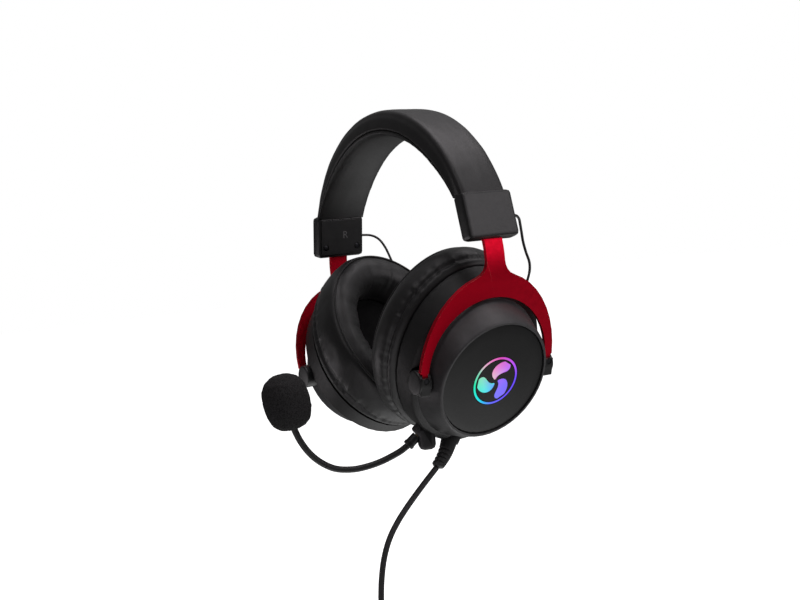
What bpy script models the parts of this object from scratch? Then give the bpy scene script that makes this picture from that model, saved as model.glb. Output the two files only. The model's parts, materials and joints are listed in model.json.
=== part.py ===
"""Over-ear gaming headset with a padded headband, red aluminium forks, oval ear cups,
a pull-out gooseneck microphone and a USB cable put away as a tied coil.

The wearer faces -Y and the wearer's left is +X. The origin is the middle of the
headband pad's underside, where the headset rests on a head. Every length below is in
millimetres, and the helpers turn it into metres.
"""
import math

import bmesh
import bpy
from mathutils import Matrix, Vector

MM = 0.001
GAP = 0.3                        # air between touching pieces

# ---- headband ---------------------------------------------------------------------
BAND_HALF_SPAN = 92.6            # half the span of the arch's outer surface
BAND_RISE = 92.3                 # height of the arch above its centre
CREST_HEIGHT = 17.1              # outer surface at the top, above the pad's underside
BAND_CENTRE_Z = CREST_HEIGHT - BAND_RISE
BAND_END_ANGLE = 68.0            # where the arch meets the slider housings
BAND_TOP_HALF_WIDTH = 15.3       # across the outer surface
BAND_SEAM_HALF_WIDTH = 17.6      # at the seam between cover and pad
BAND_SEAM_DEPTH = 12.4           # seam below the outer surface, at the crest
BAND_SEAM_TAPER = 5.2            # how much shallower the seam is at the ends
BAND_DEPTH_TAPER = 9.0           # how much thinner the whole band is at the ends
COVER_WALL = 1.4
STRIP_DEPTH = 5.3                # spring steel strip below the outer surface
STRIP_HALF_WIDTH = 9.2
STRIP_THICKNESS = 1.0
BAND_SECTIONS = 20

# ---- slider housings --------------------------------------------------------------
HOUSING_LEAN = math.radians(11.0)    # foot of the housing leans outwards
HOUSING_FOOT = (93.6, -68.2)         # outer face, bottom edge: x and z
HOUSING_HALF_WIDTH = 17.6
HOUSING_HEIGHT = 27.6
HOUSING_DEPTH = 10.1
HOUSING_WALL = 1.6
LID_THICKNESS = 1.4
HOUSING_SCREW_ACROSS = 12.2
HOUSING_SCREW_UP = 7.0
LEAD_UP = 13.5                       # hole in the rear side for the lead to the cup
LEAD_DEPTH = 7.2

# ---- forks (yokes) ----------------------------------------------------------------
FORK_LEAN = math.radians(17.5)       # legs lean inwards going down
FORK_FOOT = (72.6, -141.0)           # middle of the plate at the leg ends: x and z
FORK_THICKNESS = 2.4
FORK_HALF_WIDTH = 47.2               # outer edge at the leg ends
FORK_OUTER_RISE = 55.5
FORK_INNER_HALF_WIDTH = 41.8
FORK_INNER_RISE = 40.8
FORK_FILLET = 9.0                    # hollow where the crown runs into the stem
STEM_HALF_WIDTH = 6.4
STEM_BEND = 61.9                     # where the plate bends, up from the leg ends
STEM_TOP = 13.1 + 26.6               # end of the stem, up from the bend
STEM_DEPTH = 5.0                     # middle of the stem behind the housing's face
TONGUE = (42.4, 46.0, -6.6)          # leg end inside its knob: inner, outer, bottom
LEG_END = 0.7                        # bottom of the leg's full width
NOTCH_COUNT = 7
NOTCH_PITCH = 3.0

# ---- cup pivots -------------------------------------------------------------------
PIVOT = (66.9, -145.8)               # tilt axis: x and z
KNOB_RADIUS = 7.3
KNOB_FACE = 48.2                     # end face from the middle of the cup
KNOB_BACK = 40.1
KNOB_SCREW_DOWN = 3.4                # screw below the leg end
STUB_RADIUS = 2.5
STUB_END = 36.4

# ---- ear cups, in the cup's own frame: Z out of the ear, Y up, pivot at the origin ----
CUP_TILT = math.radians(26.2)        # outer face turned down from vertical
PLATE_RADIUS = 35.3
PLATE_RISE = 0.9                     # middle of the round plate above the pivot
PLATE_SEAT = 9.6
PLATE_EDGE = 11.4
PLATE_CROWN = 13.1
RING_OUTER = 15.4                    # light ring in the plate
RING_INNER = 13.8
SHELL_WALL = 2.2
POCKET_RADIUS = 9.4
POCKET_FLOOR = 39.6
OVAL_SEGMENTS = 44
ROUND_SEGMENTS = 40
BAFFLE_FRONT = -21.8
BAFFLE_BACK = -23.8
DRIVER_RADIUS = 20.4
CUSHION_BACK = -24.1
EAR_HALF_WIDTH = 27.0                # hole in the cushion
EAR_HALF_HEIGHT = 35.0

# ---- microphone -------------------------------------------------------------------
JACK_MOUTH = (35.3, -29.2, -180.6)   # where the plug enters the boss
JACK_DIRECTION = (-0.331, -0.689, -0.645)
BOSS_LENGTH = 11.5
BOSS_HALF_WIDTH = 5.0
FOOT_CENTRE = (38.0, -24.7, -181.9)  # rounded foot under the shell round the socket
FOOT_SIZE = (10.6, 15.0, 10.2)
SOCKET_RADIUS = 2.9
PIN_RADIUS = 1.6
PIN_DEPTH = 8.0
SLEEVE_RADIUS = 3.4
SLEEVE_LENGTH = 8.4
GOOSENECK_RADIUS = 1.9
GOOSENECK_LOWER = [(32.3, -35.5, -186.3), (30.5, -39.2, -188.8), (28.2, -43.6, -191.0), (25.6, -50.0, -193.4),
                   (22.8, -57.6, -195.1), (20.0, -66.1, -195.7)]
GOOSENECK_UPPER = [(19.6, -67.2, -195.7), (17.4, -75.2, -194.2), (15.6, -82.0, -190.7), (14.4, -88.0, -185.6),
                   (13.8, -92.6, -179.8), (13.5, -96.2, -173.4), (13.5, -98.3, -168.2)]
MIC_BASE = (13.6, -98.8, -167.0)
MIC_DIRECTION = (0.08, -0.22, 0.97)
MIC_BODY_RADIUS = 5.6
FOAM_RADIUS = 13.6
FOAM_LENGTH = 33.5

# ---- cable ------------------------------------------------------------------------
CABLE_DIAMETER = 3.5
RELIEF_START = (37.9, -8.8, -186.9)
RELIEF_END = (38.6, -19.8, -200.9)
RELIEF_RADIUS = 5.1                  # at the cup
RELIEF_TIP = 3.7
RELIEF_GROOVES = 4
CABLE_ROUTE = [(38.6, -20.1, -201.2), (38.9, -28.2, -207.4), (39.3, -36.6, -214.0), (39.8, -44.6, -220.6),
               (40.2, -52.0, -227.6), (40.5, -58.6, -235.8), (40.7, -63.6, -246.0), (40.7, -66.8, -258.0),
               (40.6, -68.6, -271.0), (40.4, -69.4, -284.0), (40.2, -69.6, -292.4)]
COIL_CENTRE = (40.0, -55.6, -314.0)
COIL_MEAN_RADIUS = 16.6
COIL_BUNDLE_RADIUS = 7.2
TAIL_ROUTE = [(40.0, -81.6, -312.0), (40.0, -81.7, -319.0), (40.0, -81.8, -327.0)]
PLUG_TOP = (40.0, -81.8, -327.3)
PLUG_GRIP = (15.6, 8.0, 20.0)        # width, thickness and length of the moulded grip
PLUG_SHELL = (12.0, 4.5, 14.0)

# ---- leads from the housings down to the cups -----------------------------------------
LEAD_RADIUS = 0.8
SIDE_LEAD_ROUTE = [(84.0, 15.0, -56.3), (83.9, 18.6, -56.4), (82.6, 23.6, -57.0), (80.6, 27.2, -58.9),
                   (78.4, 29.4, -62.0), (76.4, 31.4, -67.0), (75.0, 33.0, -72.8), (74.4, 34.8, -78.8),
                   (74.4, 36.6, -84.8), (74.4, 36.2, -90.0), (74.0, 34.4, -95.0), (72.4, 33.0, -100.0),
                   (70.6, 32.4, -104.6), (69.2, 32.4, -108.0)]

# ---- colours: red, green and blue, then roughness and metallic ------------------------
FINISHES = {
    "leatherette": ((0.022, 0.021, 0.022), 0.50, 0.0),
    "black_plastic": ((0.020, 0.020, 0.021), 0.42, 0.0),
    "satin_plastic": ((0.045, 0.044, 0.046), 0.38, 0.0),
    "plate_plastic": ((0.012, 0.012, 0.013), 0.46, 0.0),
    "red_aluminium": ((0.42, 0.008, 0.022), 0.34, 1.0),
    "steel": ((0.55, 0.55, 0.56), 0.28, 1.0),
    "dark_steel": ((0.06, 0.06, 0.065), 0.35, 1.0),
    "diffuser": ((0.85, 0.88, 0.95), 0.35, 0.0),
    "board": ((0.02, 0.11, 0.05), 0.50, 0.0),
    "cloth": ((0.018, 0.018, 0.020), 0.90, 0.0),
    "foam": ((0.012, 0.012, 0.012), 0.95, 0.0),
    "rubber": ((0.018, 0.018, 0.019), 0.60, 0.0),
    "gold": ((0.80, 0.60, 0.25), 0.22, 1.0),
}


# ======================================================================================
# Helpers
# ======================================================================================

def clear_scene():
    for item in list(bpy.data.objects):
        bpy.data.objects.remove(item, do_unlink=True)


def collection(name):
    group = bpy.data.collections.new(name)
    bpy.context.scene.collection.children.link(group)
    return group


def make_materials():
    made = {}
    for name, (colour, roughness, metallic) in FINISHES.items():
        material = bpy.data.materials.new(name)
        material.use_nodes = True
        shader = material.node_tree.nodes["Principled BSDF"]
        shader.inputs["Base Color"].default_value = (*colour, 1.0)
        shader.inputs["Roughness"].default_value = roughness
        shader.inputs["Metallic"].default_value = metallic
        made[name] = material
    return made


def metres(point):
    return Vector(point) * MM


def frame_matrix(origin, up, out):
    """A local frame: Y up, Z out, X across, at an origin in millimetres."""
    up, out = Vector(up).normalized(), Vector(out).normalized()
    across = up.cross(out)
    turn = Matrix((across, up, out)).transposed().to_4x4()
    return Matrix.Translation(metres(origin)) @ turn


def axis_matrix(origin, direction):
    """A local frame whose Z runs along a direction."""
    turn = Vector(direction).normalized().to_track_quat("Z", "Y").to_matrix().to_4x4()
    return Matrix.Translation(metres(origin)) @ turn


def anchor(name, matrix):
    """An empty that carries the pieces of one frame."""
    empty = bpy.data.objects.new(name, None)
    empty.empty_display_size = 0.01
    empty.matrix_world = matrix
    PARTS.objects.link(empty)
    return empty


def add_object(name, data, material, parent=None, group=None):
    item = bpy.data.objects.new(name, data)
    (group or PARTS).objects.link(item)
    if material:
        data.materials.append(MATERIALS[material])
    if parent:
        item.parent = parent
    return item


def finish_mesh(mesh_builder, name):
    """Turns a bmesh in millimetres into a mesh in metres with its faces pointing out."""
    bmesh.ops.scale(mesh_builder, vec=(MM, MM, MM), verts=mesh_builder.verts)
    bmesh.ops.recalc_face_normals(mesh_builder, faces=mesh_builder.faces)
    mesh = bpy.data.meshes.new(name)
    mesh_builder.to_mesh(mesh)
    mesh_builder.free()
    mesh.shade_smooth()
    mesh.set_sharp_from_angle(angle=math.radians(32))
    return mesh


def turned(name, profile, material, parent=None, steps=ROUND_SEGMENTS, ring=True, group=None):
    """A turned piece: a profile of (radius, height) points, run down the outer side."""
    builder = bmesh.new()
    points = [builder.verts.new((radius * MM, 0.0, height * MM)) for radius, height in profile]
    pairs = list(zip(points, points[1:]))
    if ring:
        pairs.append((points[-1], points[0]))
    for start, end in pairs:
        builder.edges.new((start, end))
    mesh = bpy.data.meshes.new(name)
    builder.to_mesh(mesh)
    builder.free()
    item = add_object(name, mesh, material, parent, group)
    screw = item.modifiers.new("Turn", "SCREW")
    screw.steps = steps
    screw.render_steps = steps
    screw.use_merge_vertices = True
    screw.merge_threshold = 0.00001
    screw.use_smooth_shade = True
    return item


def block(name, size, centre, material, parent=None, bevel=0.0, group=None):
    """A box of a size about a centre, with rounded edges."""
    builder = bmesh.new()
    bmesh.ops.create_cube(builder, size=1.0)
    bmesh.ops.scale(builder, vec=size, verts=builder.verts)
    bmesh.ops.translate(builder, vec=centre, verts=builder.verts)
    item = add_object(name, finish_mesh(builder, name), material, parent, group)
    if bevel:
        rounding = item.modifiers.new("Round", "BEVEL")
        rounding.width = bevel * MM
        rounding.segments = 2
    return item


def rod(name, radius, start, end, material, parent=None, sides=24, group=None):
    """A plain round bar between two points."""
    start, end = Vector(start), Vector(end)
    builder = bmesh.new()
    bmesh.ops.create_cone(builder, cap_ends=True, segments=sides, radius1=radius, radius2=radius,
                          depth=(end - start).length)
    turn = (end - start).to_track_quat("Z", "Y").to_matrix()
    bmesh.ops.rotate(builder, matrix=turn, verts=builder.verts)
    bmesh.ops.translate(builder, vec=(start + end) / 2, verts=builder.verts)
    return add_object(name, finish_mesh(builder, name), material, parent, group)


def lofted(name, sections, material, parent=None, ring=False):
    """Skins a row of outlines with equal point counts; a ring joins the last to the first."""
    builder = bmesh.new()
    rows = [[builder.verts.new(point) for point in section] for section in sections]
    pairs = list(zip(rows, rows[1:]))
    if ring:
        pairs.append((rows[-1], rows[0]))
    count = len(rows[0])
    for first, second in pairs:
        for index in range(count):
            following = (index + 1) % count
            builder.faces.new((first[index], first[following], second[following], second[index]))
    if not ring:
        builder.faces.new(rows[0])
        builder.faces.new(rows[-1])
    return add_object(name, finish_mesh(builder, name), material, parent)


def oval(height, half_width, half_height, rise, segments=OVAL_SEGMENTS):
    """An oval outline at one height in the cup's frame."""
    steps = [2 * math.pi * index / segments for index in range(segments)]
    return [(half_width * math.cos(step), rise + half_height * math.sin(step), height) for step in steps]


def smooth_route(points, spacing):
    """Points at an even spacing along a smooth curve through a route's own points."""
    knots = [Vector(point) for point in points]
    knots = [2 * knots[0] - knots[1]] + knots + [2 * knots[-1] - knots[-2]]
    fine = []
    for before, start, end, after in zip(knots, knots[1:], knots[2:], knots[3:]):
        for step in range(16):
            t = step / 16
            fine.append(0.5 * ((2 * start) + (end - before) * t
                               + (2 * before - 5 * start + 4 * end - after) * t ** 2
                               + (3 * start - before - 3 * end + after) * t ** 3))
    fine.append(knots[-2])
    total = sum((b - a).length for a, b in zip(fine, fine[1:]))
    count = max(2, round(total / spacing))
    even, travelled, target = [fine[0]], 0.0, total / count
    for a, b in zip(fine, fine[1:]):
        length = (b - a).length
        while travelled + length >= target - 1e-6 and len(even) < count:
            even.append(a.lerp(b, (target - travelled) / length))
            target += total / count
        travelled += length
    even.append(fine[-1])
    return even


def tube(name, radius, route, material, spacing, parent=None, sides=2):
    """A round tube along a smooth route, as a curve with a bevel and filled ends."""
    curve = bpy.data.curves.new(name, "CURVE")
    curve.dimensions = "3D"
    curve.bevel_depth = radius * MM
    curve.bevel_resolution = sides
    curve.use_fill_caps = True
    points = smooth_route(route, spacing)
    spline = curve.splines.new("POLY")
    spline.points.add(len(points) - 1)
    for slot, point in zip(spline.points, points):
        slot.co = (*metres(point), 1.0)
    return add_object(name, curve, material, parent)


def boolean(item, tool, operation="DIFFERENCE"):
    modifier = item.modifiers.new(operation.title(), "BOOLEAN")
    modifier.operation = operation
    modifier.object = tool
    modifier.solver = "EXACT"


def as_tool(item):
    """Marks an object as a tool for Booleans, left out of the model."""
    item.hide_render = True
    item.display_type = "WIRE"
    return item


def tool_block(name, size, centre, parent=None, bevel=0.0):
    return as_tool(block(name, size, centre, None, parent, bevel, TOOLS))


def tool_rod(name, radius, start, end, parent=None, sides=24):
    return as_tool(rod(name, radius, start, end, None, parent, sides, TOOLS))


# ======================================================================================
# Headband: cover, foam, spring steel strip, pad and the lead to the far cup
# ======================================================================================

def band_taper(angle, amount, power):
    return amount * (abs(angle) / BAND_END_ANGLE) ** power


def band_depth(angle):
    return CREST_HEIGHT - band_taper(angle, BAND_DEPTH_TAPER, 2.6)


def seam_depth(angle):
    return BAND_SEAM_DEPTH - band_taper(angle, BAND_SEAM_TAPER, 3.5)


def band_place(angle, across, depth):
    """A point on the band: an angle along the arch, across it, and below its surface."""
    turn = math.radians(angle)
    surface = Vector((BAND_HALF_SPAN * math.sin(turn), 0.0, BAND_CENTRE_Z + BAND_RISE * math.cos(turn)))
    inward = Vector((-math.sin(turn) / BAND_HALF_SPAN, 0.0, -math.cos(turn) / BAND_RISE)).normalized()
    square_end = Vector((-math.cos(HOUSING_LEAN) * math.copysign(1, angle), 0.0, -math.sin(HOUSING_LEAN)))
    blend = max(0.0, (abs(angle) - 52.0) / (BAND_END_ANGLE - 52.0))
    inward = inward.lerp(square_end, blend).normalized()
    return surface + inward * depth + Vector((0.0, across, 0.0))


def band_body(name, outline, material, reach, sections=BAND_SECTIONS):
    """A band piece whose outline of (across, depth) points changes along the arch."""
    rows = []
    for index in range(sections + 1):
        angle = -reach + 2 * reach * index / sections
        rows.append([band_place(angle, across, depth) for across, depth in outline(angle)])
    return lofted(name, rows, material)


def mirrored(half):
    """A closed outline from its right half, listed from top to bottom."""
    return half + [(-across, depth) for across, depth in reversed(half)]


def cover_outline(angle):
    seam = seam_depth(angle)
    top, side = BAND_TOP_HALF_WIDTH, BAND_SEAM_HALF_WIDTH
    return mirrored([(top - 2.6, 0.0), (top - 0.6, 0.7), (top + 0.5, 2.6), (side, seam - GAP),
                     (side - COVER_WALL, seam - GAP), (top - 1.2, 3.0), (top - 3.4, COVER_WALL)])


def foam_outline(_angle):
    half_width = BAND_TOP_HALF_WIDTH - 3.6
    return mirrored([(half_width, COVER_WALL + GAP), (half_width, STRIP_DEPTH - GAP)])


def strip_outline(_angle):
    return mirrored([(STRIP_HALF_WIDTH, STRIP_DEPTH), (STRIP_HALF_WIDTH, STRIP_DEPTH + STRIP_THICKNESS)])


def pad_outline(angle):
    seam, depth = seam_depth(angle), band_depth(angle)
    inside = BAND_SEAM_HALF_WIDTH - COVER_WALL - 1.6
    top = STRIP_DEPTH + STRIP_THICKNESS + GAP
    crown = depth - seam
    return mirrored([(inside - 1.2, top), (inside, max(top + 0.2, seam - 0.6)), (inside, seam),
                     (BAND_SEAM_HALF_WIDTH - 0.2, seam), (BAND_SEAM_HALF_WIDTH - 0.6, seam + 0.45 * crown),
                     (BAND_SEAM_HALF_WIDTH - 3.6, seam + 0.85 * crown), (9.0, depth)])


def make_headband():
    band_body("headband_cover", cover_outline, "leatherette", BAND_END_ANGLE)
    band_body("headband_foam", foam_outline, "foam", 58.0, 16)
    band_body("headband_pad", pad_outline, "leatherette", BAND_END_ANGLE)
    band_body("headband_strip", strip_outline, "steel", BAND_END_ANGLE + 6.5, 30)
    lead = [band_place(angle, 12.9, STRIP_DEPTH - 0.6) for angle in range(-66, 67, 12)]
    tube("headband_lead", LEAD_RADIUS, lead, "rubber", 5.0, sides=1)


# ======================================================================================
# Slider housings
# ======================================================================================

def housing_frame(side):
    out = (side * math.cos(HOUSING_LEAN), 0.0, math.sin(HOUSING_LEAN))
    up = (-side * math.sin(HOUSING_LEAN), 0.0, math.cos(HOUSING_LEAN))
    return frame_matrix((side * HOUSING_FOOT[0], 0.0, HOUSING_FOOT[1]), up, out)


def make_housing(name, side):
    """Outer shell with screw posts, lid, two lid screws and the detent spring."""
    frame = anchor("housing_frame_" + name, housing_frame(side))
    middle = (0.0, HOUSING_HEIGHT / 2, -HOUSING_DEPTH / 2)
    shell = block("slider_housing_" + name, (2 * HOUSING_HALF_WIDTH, HOUSING_HEIGHT, HOUSING_DEPTH), middle,
                  "black_plastic", frame, bevel=2.6)
    wall = HOUSING_WALL
    boolean(shell, tool_block("housing_hollow_" + name,
                              (2 * (HOUSING_HALF_WIDTH - wall), HOUSING_HEIGHT - 2 * wall, HOUSING_DEPTH),
                              (0.0, HOUSING_HEIGHT / 2, -HOUSING_DEPTH / 2 - wall), frame, 0.8))
    stem_slot = (2 * (STEM_HALF_WIDTH + GAP), 3 * HOUSING_HEIGHT, FORK_THICKNESS + 2 * GAP)
    boolean(shell, tool_block("stem_slot_" + name, stem_slot, (0.0, HOUSING_HEIGHT / 2, -STEM_DEPTH), frame))
    strip_slot = (2 * (STRIP_HALF_WIDTH + 0.6), 10.0, 3.2)
    boolean(shell, tool_block("strip_slot_" + name, strip_slot, (0.0, HOUSING_HEIGHT, -7.9), frame))
    rear = side * HOUSING_HALF_WIDTH
    boolean(shell, tool_rod("lead_hole_" + name, LEAD_RADIUS + GAP, (rear - side * 4.0, LEAD_UP, -LEAD_DEPTH),
                            (rear + side * 4.0, LEAD_UP, -LEAD_DEPTH), frame, 16))
    post_top = -HOUSING_DEPTH + LID_THICKNESS + GAP
    for spot, across in (("front", -side), ("rear", side)):
        centre = (across * HOUSING_SCREW_ACROSS, HOUSING_SCREW_UP)
        boolean(shell, tool_rod("post_%s_%s" % (name, spot), 2.4, (*centre, -1.0), (*centre, post_top), frame,
                                16), "UNION")
        boolean(shell, tool_rod("post_hole_%s_%s" % (name, spot), 1.3, (*centre, -2.2),
                                (*centre, -HOUSING_DEPTH), frame, 16))

    margin = wall + GAP
    lid = block("slider_lid_" + name,
                (2 * (HOUSING_HALF_WIDTH - margin), HOUSING_HEIGHT - 2 * margin, LID_THICKNESS),
                (0.0, HOUSING_HEIGHT / 2, -HOUSING_DEPTH + LID_THICKNESS / 2), "black_plastic", frame, 0.4)
    for spot, across in (("front", -side), ("rear", side)):
        centre = (across * HOUSING_SCREW_ACROSS, HOUSING_SCREW_UP)
        label = "%s_%s" % (name, spot)
        boolean(lid, tool_rod("lid_hole_" + label, 1.3, (*centre, -HOUSING_DEPTH - 1), (*centre, -6.0),
                              frame, 16))
        boolean(lid, tool_rod("lid_recess_" + label, 2.2, (*centre, -HOUSING_DEPTH - 1),
                              (*centre, -HOUSING_DEPTH + 0.9), frame, 20))
        head = -HOUSING_DEPTH + 0.1
        screw = turned("housing_screw_" + label,
                       [(0.0, 0.0), (0.9, 0.0), (0.9, -5.5), (1.8, -5.5), (1.8, -5.9), (1.2, -6.1),
                        (0.0, -6.1)],
                       "dark_steel", frame, 12, ring=False)
        screw.location = metres((*centre, head + 6.1))

    leaf_depth = -(HOUSING_WALL + 0.9)
    leaf = [(3.4, -0.5), (7.0, 0.2), (10.0, -0.2), (13.0, 0.2), (16.6, -0.5)]
    corners = ((4, 0.15), (-4, 0.15), (-4, -0.15), (4, -0.15))
    rows = [[(across, up, leaf_depth + lift + edge) for across, edge in corners] for up, lift in leaf]
    lofted("detent_spring_" + name, rows, "steel", frame)


# ======================================================================================
# Forks: one bent aluminium plate each, with a knob on each leg
# ======================================================================================

def fork_frame(side):
    out = (side * math.cos(FORK_LEAN), 0.0, -math.sin(FORK_LEAN))
    up = (side * math.sin(FORK_LEAN), 0.0, math.cos(FORK_LEAN))
    return frame_matrix((side * FORK_FOOT[0], 0.0, FORK_FOOT[1]), up, out)


def crown_edge():
    """Outer edge from a leg end round the crown and up its fillet to the stem."""
    def edge(angle):
        return Vector((FORK_HALF_WIDTH * math.cos(angle), FORK_OUTER_RISE * math.sin(angle)))

    def fillet_centre(angle):
        normal = Vector((math.cos(angle) / FORK_HALF_WIDTH, math.sin(angle) / FORK_OUTER_RISE)).normalized()
        return edge(angle) + normal * FORK_FILLET

    low, high = 0.6, 1.5
    for _ in range(40):
        middle = (low + high) / 2
        if fillet_centre(middle).x > STEM_HALF_WIDTH + FORK_FILLET:
            low = middle
        else:
            high = middle
    centre = fillet_centre(low)
    points = [edge(low * index / 9) for index in range(10)]
    start = math.atan2(points[-1].y - centre.y, points[-1].x - centre.x)
    for index in range(1, 5):
        angle = start + (-math.pi - start) * index / 4
        points.append(centre + FORK_FILLET * Vector((math.cos(angle), math.sin(angle))))
    return [tuple(point) for point in points] + [(STEM_HALF_WIDTH, STEM_BEND)]


def fork_plate():
    """The plate as (across, up) faces, bent inwards above STEM_BEND, with a tongue on each leg."""
    outer = crown_edge()
    arc = [math.pi / 2 * index / (len(outer) - 1) for index in range(len(outer))]
    inner = [(FORK_INNER_HALF_WIDTH * math.cos(angle), FORK_INNER_RISE * math.sin(angle)) for angle in arc]
    tongue_inner, tongue_outer, tongue_end = TONGUE
    outer = [(tongue_outer, tongue_end), (tongue_outer, 0.1), (FORK_HALF_WIDTH, LEG_END)] + outer[1:]
    inner = [(tongue_inner, tongue_end), (tongue_inner, 0.1), (FORK_INNER_HALF_WIDTH, LEG_END)] + inner[1:]
    bend = HOUSING_LEAN + FORK_LEAN
    builder = bmesh.new()
    made = {}

    def vertex(across, up):
        key = (round(across, 4), round(up, 4))
        if key not in made:
            rest = max(0.0, up - STEM_BEND)
            made[key] = builder.verts.new((across, up - rest + rest * math.cos(bend), -rest * math.sin(bend)))
        return made[key]

    for mirror in (1, -1):
        edges = [(vertex(mirror * x_out, up_out), vertex(mirror * x_in, up_in))
                 for (x_out, up_out), (x_in, up_in) in zip(outer, inner)]
        for (out_low, in_low), (out_high, in_high) in zip(edges, edges[1:]):
            builder.faces.new((out_low, out_high, in_high, in_low))
    rows = [STEM_BEND + STEM_TOP * part / 3 for part in range(4)]
    builder.faces.new((vertex(-STEM_HALF_WIDTH, STEM_BEND), vertex(*inner[-1]),
                       vertex(STEM_HALF_WIDTH, STEM_BEND)))
    for low, high in zip(rows, rows[1:]):
        builder.faces.new((vertex(-STEM_HALF_WIDTH, low), vertex(STEM_HALF_WIDTH, low),
                           vertex(STEM_HALF_WIDTH, high), vertex(-STEM_HALF_WIDTH, high)))
    return builder


def stem_point(across, up, out=0.0):
    """A point on the stem above the bend, in the fork's frame."""
    bend = HOUSING_LEAN + FORK_LEAN
    return (across, STEM_BEND + up * math.cos(bend) + out * math.sin(bend),
            -up * math.sin(bend) + out * math.cos(bend))


def make_fork(name, side):
    """The aluminium fork, its two knobs and their screws."""
    frame = anchor("fork_frame_" + name, fork_frame(side))
    fork = add_object("fork_" + name, finish_mesh(fork_plate(), "fork"), "red_aluminium", frame)
    thickness = fork.modifiers.new("Thickness", "SOLIDIFY")
    thickness.thickness = FORK_THICKNESS * MM
    thickness.offset = 0.0
    chamfer = fork.modifiers.new("Chamfer", "BEVEL")
    chamfer.width = 0.45 * MM
    chamfer.segments = 1
    chamfer.limit_method = "ANGLE"
    chamfer.angle_limit = math.radians(60)
    for index in range(NOTCH_COUNT):
        up = STEM_TOP - 5.0 - NOTCH_PITCH * index
        depth = FORK_THICKNESS / 2 + 0.4
        boolean(fork, tool_rod("notch_%s_%d" % (name, index), 0.9, stem_point(-3.5, up, depth),
                               stem_point(3.5, up, depth), frame, 12))

    lean = Matrix.Rotation(FORK_LEAN, 3, "X")
    down, behind = pivot_in_fork()
    middle = (TONGUE[0] + TONGUE[1]) / 2
    for spot, across in (("front", -side), ("rear", side)):
        label = "%s_%s" % (name, spot)
        screw_up = -KNOB_SCREW_DOWN
        boolean(fork, tool_rod("leg_hole_" + label, 1.2, (across * middle, screw_up, -5.0),
                               (across * middle, screw_up, 5.0), frame, 16))
        knob = turned("pivot_knob_" + label,
                      [(0.0, KNOB_FACE), (KNOB_RADIUS - 1.2, KNOB_FACE), (KNOB_RADIUS - 0.3, KNOB_FACE - 0.5),
                       (KNOB_RADIUS, KNOB_FACE - 1.4), (KNOB_RADIUS, KNOB_BACK + 0.5),
                       (KNOB_RADIUS - 0.5, KNOB_BACK), (STUB_RADIUS, KNOB_BACK), (STUB_RADIUS, STUB_END),
                       (0.0, STUB_END)], "black_plastic", frame, 20, ring=False)
        knob.location = metres((0.0, down, behind))
        knob.rotation_euler = (0.0, across * math.pi / 2, 0.0)
        socket_height = 11.0
        knob_middle = (KNOB_FACE + KNOB_BACK) / 2
        boolean(knob, tool_block("leg_socket_" + label, (KNOB_FACE - KNOB_BACK - 1.6, socket_height, 6.2),
                                 (across * knob_middle, -1.5 - socket_height / 2, 0.0), frame, 0.7), "UNION")
        slot = (TONGUE[1] - TONGUE[0] + 2 * GAP, 12.0, FORK_THICKNESS + 2 * GAP)
        boolean(knob, tool_block("leg_slot_" + label, slot, (across * middle, TONGUE[2] - GAP + 6.0, 0.0),
                                 frame))
        boolean(knob, tool_rod("screw_hole_" + label, 1.2, (across * middle, screw_up, -4.6),
                               (across * middle, screw_up, 5.0), frame, 16))
        boolean(knob, tool_rod("screw_recess_" + label, 1.9, (across * middle, screw_up, 1.9),
                               (across * middle, screw_up, 5.0), frame, 20))
        screw = turned("knob_screw_" + label,
                       [(0.0, 2.8), (1.5, 2.8), (1.5, 2.1), (0.85, 2.1), (0.85, -4.2), (0.0, -4.2)],
                       "dark_steel", frame, 12, ring=False)
        screw.location = metres((across * middle, screw_up, 0.0))


def pivot_in_fork():
    """The tilt axis in the fork's frame: distance up the plate and out of it."""
    offset = Vector((PIVOT[0] - FORK_FOOT[0], PIVOT[1] - FORK_FOOT[1]))
    up = Vector((math.sin(FORK_LEAN), math.cos(FORK_LEAN)))
    out = Vector((math.cos(FORK_LEAN), -math.sin(FORK_LEAN)))
    return offset.dot(up), offset.dot(out)


# ======================================================================================
# Ear cups
# ======================================================================================

def cup_axes(side):
    out = Vector((side * math.cos(CUP_TILT), 0.0, -math.sin(CUP_TILT)))
    up = Vector((side * math.sin(CUP_TILT), 0.0, math.cos(CUP_TILT)))
    return up, out


def cup_frame(side):
    up, out = cup_axes(side)
    return frame_matrix((side * PIVOT[0], 0.0, PIVOT[1]), up, out)


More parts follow.
